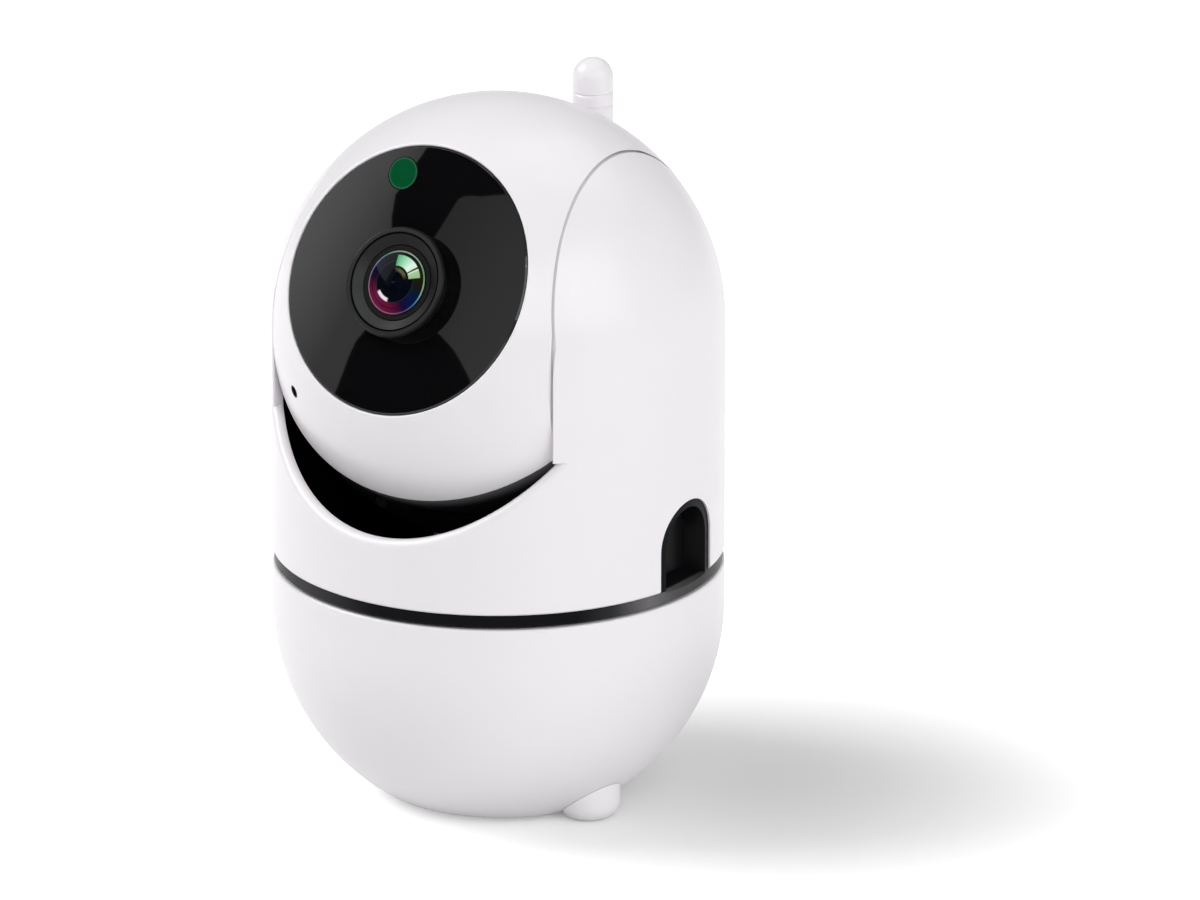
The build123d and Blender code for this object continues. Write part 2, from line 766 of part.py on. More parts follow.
# Body beside the head above the mouth's corners, where the edges stay crisp
with BuildPart() as beside_head:
    with BuildSketch(side_view):
        with BuildLine():
            Polyline(
                (far, corner_z - dome_z),
                (far, far),
                (-far, far),
                (-far, 0),
                (0, 0),
                (0, corner_z - dome_z),
                close=True,
            )
        make_face()
    extrude(amount=far, both=True)
    with BuildSketch(side_view):
        Rectangle(4 * far, 4 * far)
    extrude(amount=slot_half_width, both=True, mode=Mode.SUBTRACT)

with BuildPart() as seam_cheeks:
    add(upper_outer)
    with BuildSketch(side_view):
        Rectangle(4 * far, 4 * far)
    extrude(amount=slot_half_width, both=True, mode=Mode.SUBTRACT)
    fillet(seam_cheeks.edges().filter_by(on_seam), seam_round)
    add(beside_head.part, mode=Mode.INTERSECT)

with BuildPart() as cheek_shell:
    add(upper_outer)
    add(upper_inner, mode=Mode.SUBTRACT)
    with BuildSketch(Plane.XZ.offset(-rear_split)):
        with Locations((0, dome_z)):
            Rectangle(far, far)
    extrude(amount=-far, mode=Mode.SUBTRACT)
    add(cheek_rods, mode=Mode.INTERSECT)

with BuildPart() as front_shell:
    add(upper_outer)
    add(head_slot.part, mode=Mode.SUBTRACT)
    fillet(front_shell.edges().filter_by(on_lip), lip_round)
    add(beside_head.part, mode=Mode.SUBTRACT)
    add(seam_cheeks.part)
    add(upper_inner, mode=Mode.SUBTRACT)
    add(top_slot.part, mode=Mode.SUBTRACT)
    with BuildSketch(Plane.XZ.offset(-rear_split)):
        with Locations((0, dome_z)):
            Rectangle(far, far)
    extrude(amount=-far, mode=Mode.SUBTRACT)
    add(cheek_shell.part)
    for side in (1, -1):
        extrude(arch_profile(side, 0.0, 1.0), amount=-(far - 10), mode=Mode.SUBTRACT)
    with BuildSketch(Plane.XY.offset(column_z)):
        with Locations(*body_screw_spots):
            Circle(2.3)
    extrude(amount=11)
    with BuildSketch(Plane.XY.offset(column_z)):
        Circle(far)
        Circle(body_radius, mode=Mode.SUBTRACT)
    extrude(amount=15, mode=Mode.SUBTRACT)
    with BuildSketch(Plane.XY.offset(column_z)):
        with Locations(*body_screw_spots):
            Circle(screw_radius + screw_clearance)
    extrude(amount=9, mode=Mode.SUBTRACT)
front_shell.part.label = "front_shell"
export_step(front_shell.part, "parts/front_shell.step")

with BuildPart() as body_screws:
    for spot in body_screw_spots:
        with BuildSketch(Plane.XY.offset(ring_z + 1.1)):
            with Locations(spot):
                Circle(screw_head)
        extrude(amount=-1.0)
        with BuildSketch(Plane.XY.offset(ring_z + 1.1)):
            with Locations(spot):
                Circle(screw_radius)
        extrude(amount=9)
body_screws.part.label = "body_screws"
export_step(body_screws.part, "parts/body_screws.step")

with BuildPart() as rear_shell:
    add(upper_outer)
    add(upper_inner, mode=Mode.SUBTRACT)
    with BuildSketch(Plane.XZ.offset(-rear_split)):
        with Locations((0, dome_z)):
            Rectangle(far, far)
    extrude(amount=far, mode=Mode.SUBTRACT)
    with BuildSketch(Plane.XY.offset(dome_z)):
        with Locations((0, antenna_setback)):
            Circle(antenna_radius + seat_gap)
    extrude(amount=far, mode=Mode.SUBTRACT)
rear_shell.part.label = "rear_shell"
export_step(rear_shell.part, "parts/rear_shell.step")

# ---------------------------------------------------------------- tilt frames, bushes, motor
bush_radius = 5.0
bush_flange = 6.5
bush_flange_thickness = 0.6
plate_thickness_x = 1.6
rim_thickness = 1.5


def side_rod(radius, side, start, end):
    """Round rod about the tilt axis, on one side, between two distances from the middle."""
    return cross_rod(radius, min(side * start, side * end), max(side * start, side * end))


frame_inner = cheek_floor + plate_thickness_x
frame_rim = cheek_radius - part_gap
frame_bore = frame_rim - rim_thickness
tilt_motor_radius = frame_bore - tilt_centre - tilt_motor_clearance
for side, side_name in ((-1, "left"), (1, "right")):
    slot_wall_x = min(side * slot_half_width, side * (slot_half_width + plate_thickness_x))
    with BuildPart() as tilt_frame:
        add(side_rod(frame_rim, side, cheek_floor, far))
        with BuildSketch(Plane(origin=(slot_wall_x, 0, 0), x_dir=(0, 1, 0), z_dir=(1, 0, 0))):
            with Locations(((rear_split - body_radius) / 2, (column_z + tilt_z) / 2)):
                Rectangle(rear_split + body_radius, tilt_z - column_z)
        extrude(amount=plate_thickness_x)
        add(side_rod(frame_bore, side, frame_inner, far), mode=Mode.SUBTRACT)
        add(frame_envelope, mode=Mode.INTERSECT)
        add(cross_rod(bush_radius + seat_gap, -far, far), mode=Mode.SUBTRACT)
        if side < 0:
            with BuildSketch(side_plane(-frame_inner)):
                with Locations((-9.5, -tilt_centre), (9.5, -tilt_centre)):
                    Circle(1.6)
            extrude(amount=-(tilt_gear_width + 1.4))
    tilt_frame.part.label = f"tilt_frame_{side_name}"
    export_step(tilt_frame.part, f"parts/tilt_frame_{side_name}.step")
    with BuildPart() as tilt_bush:
        add(side_rod(bush_radius, side, cheek_floor, frame_inner))
        add(side_rod(bush_flange, side, frame_inner, frame_inner + bush_flange_thickness))
        add(cross_rod(trunnion_radius + running_fit, -far, far), mode=Mode.SUBTRACT)
    tilt_bush.part.label = f"tilt_bush_{side_name}"
    export_step(tilt_bush.part, f"parts/tilt_bush_{side_name}.step")

gear_x = -(cheek_floor + plate_thickness_x + bush_flange_thickness + 0.2)
motor_x = -(cheek_floor + plate_thickness_x + tilt_gear_width + 1.4)
motor_plane = Plane(origin=(motor_x, tilt_setback, tilt_z - tilt_centre), x_dir=(0, 1, 0), z_dir=(1, 0, 0))
with BuildPart() as tilt_motor:
    with BuildSketch(motor_plane):
        Circle(tilt_motor_radius)
    extrude(amount=-tilt_motor_length)
    with BuildSketch(motor_plane):
        SlotOverall(23, 4)
    extrude(amount=-0.8)
    with BuildSketch(motor_plane):
        Circle(tilt_shaft_radius + running_fit)
    extrude(amount=-4, mode=Mode.SUBTRACT)
tilt_motor.part.label = "tilt_motor"
export_step(tilt_motor.part, "parts/tilt_motor.step")

with BuildPart() as tilt_motor_shaft:
    with BuildSketch(motor_plane.offset(-3.6)):
        Circle(tilt_shaft_radius)
    extrude(amount=3.6 + tilt_gear_width + 0.4)
tilt_motor_shaft.part.label = "tilt_motor_shaft"
export_step(tilt_motor_shaft.part, "parts/tilt_motor_shaft.step")

gear_plane = Plane(origin=(gear_x, tilt_setback, tilt_z), x_dir=(0, 0, -1), z_dir=(-1, 0, 0))
small_plane = Plane(origin=(gear_x, tilt_setback, tilt_z - tilt_centre), x_dir=(0, 0, -1), z_dir=(-1, 0, 0))
with BuildPart() as tilt_pinion:
    add(
        gear(
            tilt_pinion_teeth,
            tilt_gear_width - 0.2,
            tilt_shaft_radius + 0.02,
            small_plane,
            180 / tilt_pinion_teeth,
        )
    )
tilt_pinion.part.label = "tilt_pinion"
export_step(tilt_pinion.part, "parts/tilt_pinion.step")

with BuildPart() as tilt_gear:
    add(gear(tilt_gear_teeth, tilt_gear_width, trunnion_radius + 0.02, gear_plane, 0))
tilt_gear.part.label = "tilt_gear"
export_step(tilt_gear.part, "parts/tilt_gear.step")

driver_x = frame_inner + 2.0
driver_drop = frame_bore - driver_inset
with BuildPart() as driver_board:
    with BuildSketch(side_plane(driver_x)):
        with Locations((0, -driver_drop)):
            Rectangle(22, 12)
    extrude(amount=board_thickness)
    with BuildSketch(side_plane(driver_x)):
        with Locations((-8, -driver_drop), (8, -driver_drop)):
            Circle(1.6)
    extrude(amount=-2.0)
    with BuildSketch(side_plane(driver_x + board_thickness)):
        with Locations((0, -driver_drop)):
            Rectangle(7, 5)
    extrude(amount=0.9)
driver_board.part.label = "driver_board"
export_step(driver_board.part, "parts/driver_board.step")

# ---------------------------------------------------------------- antenna
tilt_ball = Pos(tilt_point.X, tilt_point.Y, tilt_point.Z) * Sphere(core_radius + 0.4)
with BuildPart() as antenna_base:
    with BuildSketch(Plane.XY.offset(dome_z + antenna_foot)):
        with Locations((0, antenna_setback)):
            Circle(antenna_radius)
    extrude(amount=antenna_base_top - antenna_foot)
    chamfer(antenna_base.edges().group_by(Axis.Z)[-1], antenna_groove)
    with BuildSketch(Plane.XY.offset(dome_z + antenna_foot)):
        with Locations((0, antenna_setback)):
            Circle(antenna_bore)
    extrude(amount=far, mode=Mode.SUBTRACT)
    add(tilt_ball, mode=Mode.SUBTRACT)
antenna_base.part.label = "antenna_base"
export_step(antenna_base.part, "parts/antenna_base.step")

with BuildPart() as antenna_collar:
    with BuildSketch(Plane.XY.offset(dome_z + antenna_base_top)):
        with Locations((0, antenna_setback)):
            Circle(antenna_radius)
    extrude(amount=antenna_collar_top - antenna_base_top)
    chamfer(antenna_collar.edges().filter_by(GeomType.CIRCLE), antenna_groove)
    with BuildSketch(Plane.XY.offset(dome_z + antenna_base_top)):
        with Locations((0, antenna_setback)):
            Circle(antenna_bore)
    extrude(amount=far, mode=Mode.SUBTRACT)
antenna_collar.part.label = "antenna_collar"
export_step(antenna_collar.part, "parts/antenna_collar.step")

with BuildPart() as antenna_cap:
    with BuildSketch(Plane.XY.offset(dome_z + antenna_collar_top)):
        with Locations((0, antenna_setback)):
            Circle(antenna_radius)
    extrude(amount=antenna_height - antenna_collar_top)
    fillet(antenna_cap.edges().group_by(Axis.Z)[-1], antenna_radius - 0.02)
    chamfer(antenna_cap.edges().group_by(Axis.Z)[0], antenna_groove)
    with BuildSketch(Plane.XY.offset(dome_z + antenna_collar_top)):
        with Locations((0, antenna_setback)):
            Circle(antenna_bore)
    extrude(amount=3, mode=Mode.SUBTRACT)
antenna_cap.part.label = "antenna_cap"
export_step(antenna_cap.part, "parts/antenna_cap.step")

with BuildPart() as antenna_rod:
    with BuildSketch(Plane.XY.offset(dome_z + antenna_foot + 2.8)):
        with Locations((0, antenna_setback)):
            Circle(0.8)
    extrude(amount=antenna_collar_top - antenna_foot)
antenna_rod.part.label = "antenna_rod"
export_step(antenna_rod.part, "parts/antenna_rod.step")

# ---------------------------------------------------------------- head shell
head_outer = ball(body_radius, head_half_width, seam_round)
head_inner = ball(inner_radius, head_half_width - core_wall)
head_rods = cross_rod(head_bore, core_half_width, far) + cross_rod(head_bore, -far, -core_half_width)
inner_rods = cross_rod(head_bore + core_wall, core_half_width - core_wall, far) + cross_rod(
    head_bore + core_wall, -far, -core_half_width + core_wall
)
head_cavity = head_inner - inner_rods
mic_turn = radians(mic_angle)
mic_offset = Vector(cos(mic_turn), 0, 0) + face_up * sin(mic_turn)
mic_direction = (mic_offset * mic_radius + face_normal * sqrt(body_radius**2 - mic_radius**2)).normalized()
seat_distance = plate_distance - plate_inset - plate_thickness


def mic_plane(distance):
    """Plane square to the line from the dome centre through the microphone hole."""
    return Plane(origin=dome_centre + mic_direction * distance, z_dir=mic_direction)


def on_opening(edge):
    """True for the outer rim of the face plate's opening."""
    to_rim = edge @ 0.5 - dome_centre
    across = to_rim - face_normal * to_rim.dot(face_normal)
    return abs(to_rim.length - body_radius) < 0.02 and abs(across.length - plate_radius - part_gap) < 0.02


with BuildPart() as head_shell:
    add(head_outer)
    with BuildSketch(face_plane(seat_distance)):
        Circle(plate_radius + part_gap)
    extrude(amount=far, mode=Mode.SUBTRACT)
    fillet(head_shell.edges().filter_by(on_opening), opening_round)
    add(head_rods, mode=Mode.SUBTRACT)
    add(head_cavity, mode=Mode.SUBTRACT)
    add(cross_rod(flange_radius + seat_gap, -far, far), mode=Mode.SUBTRACT)
    add(lower_region(0.0, -far), mode=Mode.SUBTRACT)
    with BuildSketch(Plane.XZ.offset(-(rear_split - seam_gap))):
        with Locations((0, dome_z)):
            Rectangle(far, far)
    extrude(amount=-far, mode=Mode.SUBTRACT)
    with BuildSketch(face_plane(seat_distance)):
        Circle(plate_radius + 1.2)
        Circle(plate_radius - plate_seat, mode=Mode.SUBTRACT)
    extrude(amount=-1.2)
    with BuildSketch(face_plane(seat_distance)):
        Circle(plate_radius + part_gap)
    extrude(amount=far, mode=Mode.SUBTRACT)
    with BuildSketch(mic_plane(body_radius - 4)):
        Circle(mic_hole)
    extrude(amount=10, mode=Mode.SUBTRACT)
head_shell.part.label = "head_shell"
export_step(head_shell.part, "parts/head_shell.step")

# ---------------------------------------------------------------- chin
card_z = dome_z - (body_radius - card_lift)
card_x = 6.0
button_x = -6.0
button_hole = 1.3
chin_outer = ball(body_radius - chin_step, head_half_width - 0.4)
chin_inner = ball(body_radius - chin_step - core_wall, head_half_width - 0.4 - core_wall)
core_space = drum(core_radius + part_gap, core_half_width + part_gap)
with BuildPart() as chin_cover:
    add(chin_outer)
    add(lower_region(part_gap, chin_rear), mode=Mode.INTERSECT)
    add(chin_inner & lower_region(core_wall, chin_rear + core_wall), mode=Mode.SUBTRACT)
    add(core_space, mode=Mode.SUBTRACT)
    add(cross_rod(head_bore, -far, far), mode=Mode.SUBTRACT)
    with BuildSketch(Plane.XZ.offset(chin_rear + 5)):
        with Locations((card_x, card_z)):
            Rectangle(12.0, 1.3)
        with Locations((button_x, card_z)):
            Circle(button_hole)
    extrude(amount=far, mode=Mode.SUBTRACT)
chin_cover.part.label = "chin_cover"
export_step(chin_cover.part, "parts/chin_cover.step")

card_board_top = card_z - 0.8
with BuildPart() as card_board:
    with BuildSketch(Plane.XY.offset(card_board_top - board_thickness)):
        with Locations((1.2, -11.8)):
            Rectangle(head_half_width - card_board_margin, 7.0)
    extrude(amount=board_thickness)
card_board.part.label = "card_board"
export_step(card_board.part, "parts/card_board.step")

with BuildPart() as card_socket:
    with BuildSketch(Plane.XY.offset(card_board_top)):
        with Locations((card_x, -13.2)):
            Rectangle(11.6, 9.6)
    extrude(amount=1.6)
    with BuildSketch(Plane.XZ.offset(18.0)):
        with Locations((card_x, card_z)):
            Rectangle(11.0, 0.9)
    extrude(amount=-8.6, mode=Mode.SUBTRACT)
card_socket.part.label = "card_socket"
export_step(card_socket.part, "parts/card_socket.step")

with BuildPart() as reset_switch:
    with BuildSketch(Plane.XY.offset(card_board_top)):
        with Locations((button_x, -13.4)):
            Rectangle(4.0, 3.6)
    extrude(amount=2.4)
reset_switch.part.label = "reset_switch"
export_step(reset_switch.part, "parts/reset_switch.step")

with BuildPart() as reset_button:
    with BuildSketch(Plane.XZ.offset(16.0)):
        with Locations((button_x, card_z)):
            Circle(button_hole - running_fit)
    extrude(amount=8.0)
    with BuildSketch(Plane.XZ.offset(17.8)):
        with Locations((button_x, card_z)):
            Circle(1.8)
    extrude(amount=0.8)
reset_button.part.label = "reset_button"
export_step(reset_button.part, "parts/reset_button.step")

# ---------------------------------------------------------------- head core
image_board_back = body_radius - image_board_depth
flange_x = core_half_width - core_wall
core_flange = cross_rod(flange_radius, flange_x, core_half_width) + cross_rod(
    flange_radius, -core_half_width, -flange_x
)
core_cavity = drum(core_radius - core_wall, flange_x)
shell_ball = Pos(0, 0, dome_z) * Sphere(inner_radius - part_gap)
for side, side_name, trunnion_length in ((-1, "left", 4.6), (1, "right", 3.0)):
    with BuildPart() as core_half:
        add(drum(core_radius, core_half_width))
        add(core_flange)
        add(shell_ball, mode=Mode.INTERSECT)
        add(core_cavity, mode=Mode.SUBTRACT)
        with BuildSketch(face_plane(image_board_back)):
            with Locations((side * (flange_x - 1.4), 0)):
                Rectangle(3.0, 20.0)
        extrude(amount=-1.6)
        with BuildSketch(face_plane(core_front)):
            Rectangle(far, far)
        extrude(amount=far, mode=Mode.SUBTRACT)
        with BuildSketch(Plane(origin=(-side * far, 0, dome_z), z_dir=(side, 0, 0))):
            Rectangle(far, far)
        extrude(amount=far, mode=Mode.SUBTRACT)
        add(side_rod(trunnion_radius, side, core_half_width - 0.5, cheek_floor + trunnion_length))
        add(side_rod(2.0, side, flange_x - 0.5, far), mode=Mode.SUBTRACT)
    core_half.part.label = f"head_core_{side_name}"
    export_step(core_half.part, f"parts/head_core_{side_name}.step")

# ---------------------------------------------------------------- face and lens
plate_edge = plate_distance - plate_inset
bezel_top = plate_edge + plate_crown + bezel_rise - 0.3
bezel_rim = bezel_radius + bezel_flare
holder_top = body_radius - holder_depth
led_back = body_radius - led_board_depth
window_front = plate_edge + plate_crown * (1 - (window_y / plate_radius) ** 2)

with BuildPart() as face_plate:
    with BuildSketch(Plane(origin=dome_centre, x_dir=(1, 0, 0), z_dir=-face_up)):
        with BuildLine():
            Line((0, seat_distance), (plate_radius, seat_distance))
            Line((plate_radius, seat_distance), (plate_radius, plate_edge - 0.25))
            Line((plate_radius, plate_edge - 0.25), (plate_radius - 0.25, plate_edge))
            crown_arc(plate_radius - 0.25, plate_edge, plate_crown)
            Line((0, plate_edge + plate_crown), (0, seat_distance))
        make_face()
    revolve(axis=Axis(dome_centre, face_normal))
    with BuildSketch(face_plane(seat_distance, lens_centre)):
        Circle(bezel_radius + seat_gap)
    extrude(amount=10, mode=Mode.SUBTRACT)
    with BuildSketch(face_plane(seat_distance)):
        with Locations((window_x, window_y)):
            Circle(window_radius + seat_gap)
    extrude(amount=10, mode=Mode.SUBTRACT)
face_plate.part.label = "face_plate"
export_step(face_plate.part, "parts/face_plate.step")

with BuildPart() as sensor_window:
    with BuildSketch(face_plane(seat_distance)):
        with Locations((window_x, window_y)):
            Circle(window_radius)
    extrude(amount=window_front - seat_distance)
    with BuildSketch(face_plane(seat_distance)):
        with Locations((window_x, window_y)):
            Circle(window_radius + 0.4)
    extrude(amount=-0.6)
sensor_window.part.label = "sensor_window"
export_step(sensor_window.part, "parts/sensor_window.step")

with BuildPart() as lens_bezel:
    with BuildSketch(lens_section()):
        with BuildLine():
            Polyline(
                (bezel_mouth, bezel_top - bezel_dish),
                (bezel_rim - 1.15, bezel_top - 0.1),
                (bezel_rim - 1.0, bezel_top - 0.3),
                (bezel_rim - 0.85, bezel_top),
                (bezel_rim - 0.35, bezel_top),
                (bezel_rim, bezel_top - 0.35),
                (bezel_rim, bezel_top - 0.8),
                (bezel_radius, plate_edge + plate_crown + 0.3),
                (bezel_radius, holder_top + seat_gap),
                (bezel_mouth, holder_top + seat_gap),
                close=True,
            )
        make_face()
    revolve(axis=Axis(lens_centre, face_normal))
lens_bezel.part.label = "lens_bezel"
export_step(lens_bezel.part, "parts/lens_bezel.step")

glass_seat = bezel_top - glass_recess - glass_edge
barrel_front = bezel_top - bezel_dish
rear_seat = glass_seat - 2.4
with BuildPart() as lens_barrel:
    with BuildSketch(lens_section()):
        with BuildLine():
            Polyline(
                (glass_radius + seat_gap, barrel_front),
                (bezel_mouth - 0.15, barrel_front),
                (bezel_mouth - 0.15, glass_seat - 0.4),
                (barrel_radius, glass_seat - 0.4),
                (barrel_radius, 19.6),
                (3.6, 19.6),
                (2.2, rear_seat - 1.4),
                (2.2, rear_seat - 0.9),
                (3.8, rear_seat),
                (4.5, rear_seat),
                (4.5, glass_seat),
                (glass_radius + seat_gap, glass_seat),
                close=True,
            )
        make_face()
    revolve(axis=Axis(lens_centre, face_normal))
lens_barrel.part.label = "lens_barrel"
export_step(lens_barrel.part, "parts/lens_barrel.step")

with BuildPart() as lens_front_glass:
    with BuildSketch(lens_section()):
        with BuildLine():
            Line((0, glass_seat), (glass_radius, glass_seat))
            Line((glass_radius, glass_seat), (glass_radius, glass_seat + glass_edge))
            crown_arc(glass_radius, glass_seat + glass_edge, glass_crown)
            Line((0, glass_seat + glass_edge + glass_crown), (0, glass_seat))
        make_face()
    revolve(axis=Axis(lens_centre, face_normal))
lens_front_glass.part.label = "lens_front_glass"
export_step(lens_front_glass.part, "parts/lens_front_glass.step")

with BuildPart() as lens_rear_glass:
    with BuildSketch(lens_section()):
        with BuildLine():
            Line((0, rear_seat), (4.4, rear_seat))
            Line((4.4, rear_seat), (4.4, rear_seat + 0.7))
            crown_arc(4.4, rear_seat + 0.7, 1.0)
            Line((0, rear_seat + 1.7), (0, rear_seat))
        make_face()
    revolve(axis=Axis(lens_centre, face_normal))
lens_rear_glass.part.label = "lens_rear_glass"
export_step(lens_rear_glass.part, "parts/lens_rear_glass.step")

image_board_front = image_board_back + board_thickness
with BuildPart() as image_board:
    with BuildSketch(face_plane(image_board_back, lens_centre)):
        with Locations((0, 3)):
            Rectangle(2 * (core_half_width - image_board_margin), 24)
    extrude(amount=board_thickness)
image_board.part.label = "image_board"
export_step(image_board.part, "parts/image_board.step")

with BuildPart() as image_sensor:
    with BuildSketch(face_plane(image_board_front, lens_centre)):
        Rectangle(8, 8)
    extrude(amount=1.0)
image_sensor.part.label = "image_sensor"
export_step(image_sensor.part, "parts/image_sensor.step")

with BuildPart() as lens_holder:
    with BuildSketch(face_plane(image_board_front, lens_centre)):
        Rectangle(14, 14)
    extrude(amount=2.8)
    with BuildSketch(face_plane(image_board_front, lens_centre)):
        Circle(8.8)
    extrude(amount=led_back - image_board_front)
    with BuildSketch(face_plane(image_board_front, lens_centre)):
        Circle(7.4)
    extrude(amount=holder_top - image_board_front)
    with BuildSketch(face_plane(image_board_front, lens_centre)):
        Circle(barrel_radius + seat_gap)
    extrude(amount=10, mode=Mode.SUBTRACT)
lens_holder.part.label = "lens_holder"
export_step(lens_holder.part, "parts/lens_holder.step")

with BuildPart() as ir_board:
    with BuildSketch(face_plane(led_back, lens_centre)):
        Circle(19.5)
        Rectangle(2 * (core_half_width - led_board_margin), far, mode=Mode.INTERSECT)
        Circle(7.5, mode=Mode.SUBTRACT)
    extrude(amount=1.0)
ir_board.part.label = "ir_board"
export_step(ir_board.part, "parts/ir_board.step")

with BuildPart() as ir_leds:
    with BuildSketch(face_plane(led_back + 1.0, lens_centre)):
        with PolarLocations(core_half_width - led_circle_margin, 8, start_angle=22.5):
            Circle(1.5)
    extrude(amount=2.4)
    led_edges = ir_leds.edges().filter_by(GeomType.CIRCLE)
    fillet(led_edges.group_by(Axis(lens_centre, face_normal))[-1], 0.9)
ir_leds.part.label = "ir_leds"
export_step(ir_leds.part, "parts/ir_leds.step")

with BuildPart() as light_sensor:
    with BuildSketch(face_plane(led_back + 1.0)):
        with Locations((window_x, window_y)):
            Circle(1.6)
    extrude(amount=2.2)
light_sensor.part.label = "light_sensor"
export_step(light_sensor.part, "parts/light_sensor.step")

with BuildPart() as microphone:
    with BuildSketch(mic_plane(inner_radius - 0.3)):
        Circle(2.0)
    extrude(amount=-2.0)
microphone.part.label = "microphone"
export_step(microphone.part, "parts/microphone.step")
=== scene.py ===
import json
import math

import bpy
from mathutils import Matrix, Vector

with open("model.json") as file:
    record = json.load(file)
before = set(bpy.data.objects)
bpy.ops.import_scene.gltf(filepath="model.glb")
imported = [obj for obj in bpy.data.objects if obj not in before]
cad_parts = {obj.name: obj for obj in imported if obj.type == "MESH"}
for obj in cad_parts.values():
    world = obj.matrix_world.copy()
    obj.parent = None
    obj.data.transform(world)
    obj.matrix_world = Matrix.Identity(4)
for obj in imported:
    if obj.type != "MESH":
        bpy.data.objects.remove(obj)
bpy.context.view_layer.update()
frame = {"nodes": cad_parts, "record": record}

# ---------------------------------------------------------------- places on the object, in metres
BODY_MIDDLE = Vector((0, 0, 0.06))
DOME_CENTRE = Vector((0, 0, 0.0779))
BALL_RADIUS = 0.0360
RING_TOP = 0.0406

FACE_PITCH = math.radians(27.0)
FACE_NORMAL = Vector((0, -math.cos(FACE_PITCH), math.sin(FACE_PITCH)))
FACE_UP = Vector((0, math.sin(FACE_PITCH), math.cos(FACE_PITCH)))
LENS_DROP = 0.001
PLATE_HEIGHT = 0.02915
WINDOW_SIDE = -0.0055
WINDOW_RISE = 0.0163
LENS_CENTRE = DOME_CENTRE - FACE_UP * LENS_DROP
PLATE_TOP = DOME_CENTRE + FACE_NORMAL * PLATE_HEIGHT
WINDOW_CENTRE = PLATE_TOP + Vector((WINDOW_SIDE, 0, 0)) + FACE_UP * WINDOW_RISE

# Plane of the head shell's lower edge, by its tilt and its distance from the dome's centre
EDGE_PITCH = math.radians(35.0)
EDGE_DISTANCE = 0.0110

# Microphone hole: turn and reach from the face axis, and the radius within which the shell is
# painted dark, as painted shade in and round the hole
MIC_TURN = math.radians(227.5)
MIC_REACH = 0.0273
MIC_PAINTED_SHADE = 0.0011
MIC_AXIS = (
    (Vector((math.cos(MIC_TURN), 0, 0)) + FACE_UP * math.sin(MIC_TURN)) * MIC_REACH
    + FACE_NORMAL * math.sqrt(BALL_RADIUS**2 - MIC_REACH**2)
).normalized()

# ---------------------------------------------------------------- the photograph's view
AZIMUTH = math.radians(33.0)
ELEVATION = math.radians(18.4)
IMAGE_WIDTH = 1200
IMAGE_HEIGHT = 900
DOME_PIXEL = (498, 318)
FRAME_WIDTH = 0.1895
LENS = 300.0
SENSOR = 36.0
PIXEL = FRAME_WIDTH / IMAGE_WIDTH

to_camera = Vector((
    math.sin(AZIMUTH) * math.cos(ELEVATION),
    -math.cos(AZIMUTH) * math.cos(ELEVATION),
    math.sin(ELEVATION),
))
right = Vector((math.cos(AZIMUTH), math.sin(AZIMUTH), 0))
up = to_camera.cross(right)
view_centre = (
    DOME_CENTRE
    + right * (IMAGE_WIDTH / 2 - DOME_PIXEL[0]) * PIXEL
    - up * (IMAGE_HEIGHT / 2 - DOME_PIXEL[1]) * PIXEL
)

# ---------------------------------------------------------------- finishes
NOISE_LOW, NOISE_HIGH = 0.2, 0.8  # nearly all values of a noise lie between these
CRISP = 0.0001  # metres over which a sharp edge between two colours runs
SKIN_GRAIN = 2500.0
SKIN_DEPTH = 0.000003
SKIN_STRENGTH = 0.4
COAT_ROUGHNESS = 0.06
# Emission strength of the painted glow along the chin's top edge, a part that is no lamp
CHIN_PAINTED_GLOW = 0.058
SHELL = {
    "dark": (0.834, 0.811, 0.838),
    "light": (0.842, 0.819, 0.846),
    "rough": (0.27, 0.30),
    "coat": 0.12,
    "specular": 0.38,
}

# ---------------------------------------------------------------- the studio
WHITE = (1, 1, 1, 1)
MIRRORED_WHITE = 0.5  # background in glossy rays, low enough that the pale rims don't clip
HORIZON_LIGHT = 0.44
ZENITH_LIGHT = 0.26
ZENITH_HEIGHT = 0.8
FLOOR_REACH = 6.0
FLOOR_LIFT = 1.05
SHADOW_CENTRE = 0.0397
SHADOW_REACH = 0.12

# Turn to the right of the camera, height above the floor, distance, watts, width and height
LAMPS = {
    "key_left": (-98, 40, 1.2, 8.8, 0.7, 0.7),
    "soft_front": (16, 26, 1.4, 7.6, 1.5, 0.8),
    "soft_right": (58, 26, 1.3, 4.2, 0.7, 0.9),
    "soft_back": (132, 58, 1.3, 2.4, 0.8, 0.8),
}

# Two light cards and the dark one behind them, which the face plate mirrors: distance in metres,
# outline in millimetres, and two strengths with the places across the width, in metres, between
# which one runs over into the other
CARDS = {
    "card_gap": (0.706, [
        (-150, -150), (150, -150), (150, 150), (-150, 150),
    ], (0.0, 0.0, 0.0, 1.0)),
    "card_left": (0.700, [
        (-25, -95), (-27.4, -75.0), (-28.8, -68.5), (-30.2, -57.2), (-30.6, -46.1),
        (-27.8, -37.9), (-45.0, 18.0), (-49.2, 28.1), (-52.2, 33.4), (-57.0, 45.0),
        (-57.0, 60.0), (-53.7, 75.4), (-46, 120), (-150, 120), (-150, -95),
    ], (1.75, 0.75, -0.101, -0.048)),
    "card_right": (0.700, [
        (19.5, -14.5), (30.3, -16.1), (41.6, -18.9), (51.7, -23.4), (59.5, -28.3),
        (84, -50), (150, -62), (150, 138), (14.3, 79.0), (-4.6, 71.5),
        (-10.0, 68.2), (-12.4, 64.9), (-12.7, 57.8), (-13.0, 46.7), (-14.0, 30.0),
    ], (0.42, 0.70, -0.014, 0.071)),
}


# ---------------------------------------------------------------- shader helpers
def new_material(name):
    """Material with its Principled shader."""
    material = bpy.data.materials.new(name)
    material.use_nodes = True
    tree = material.node_tree
    return material, tree, tree.nodes["Principled BSDF"]


def grey(level):
    """Neutral colour."""
    return (level, level, level)


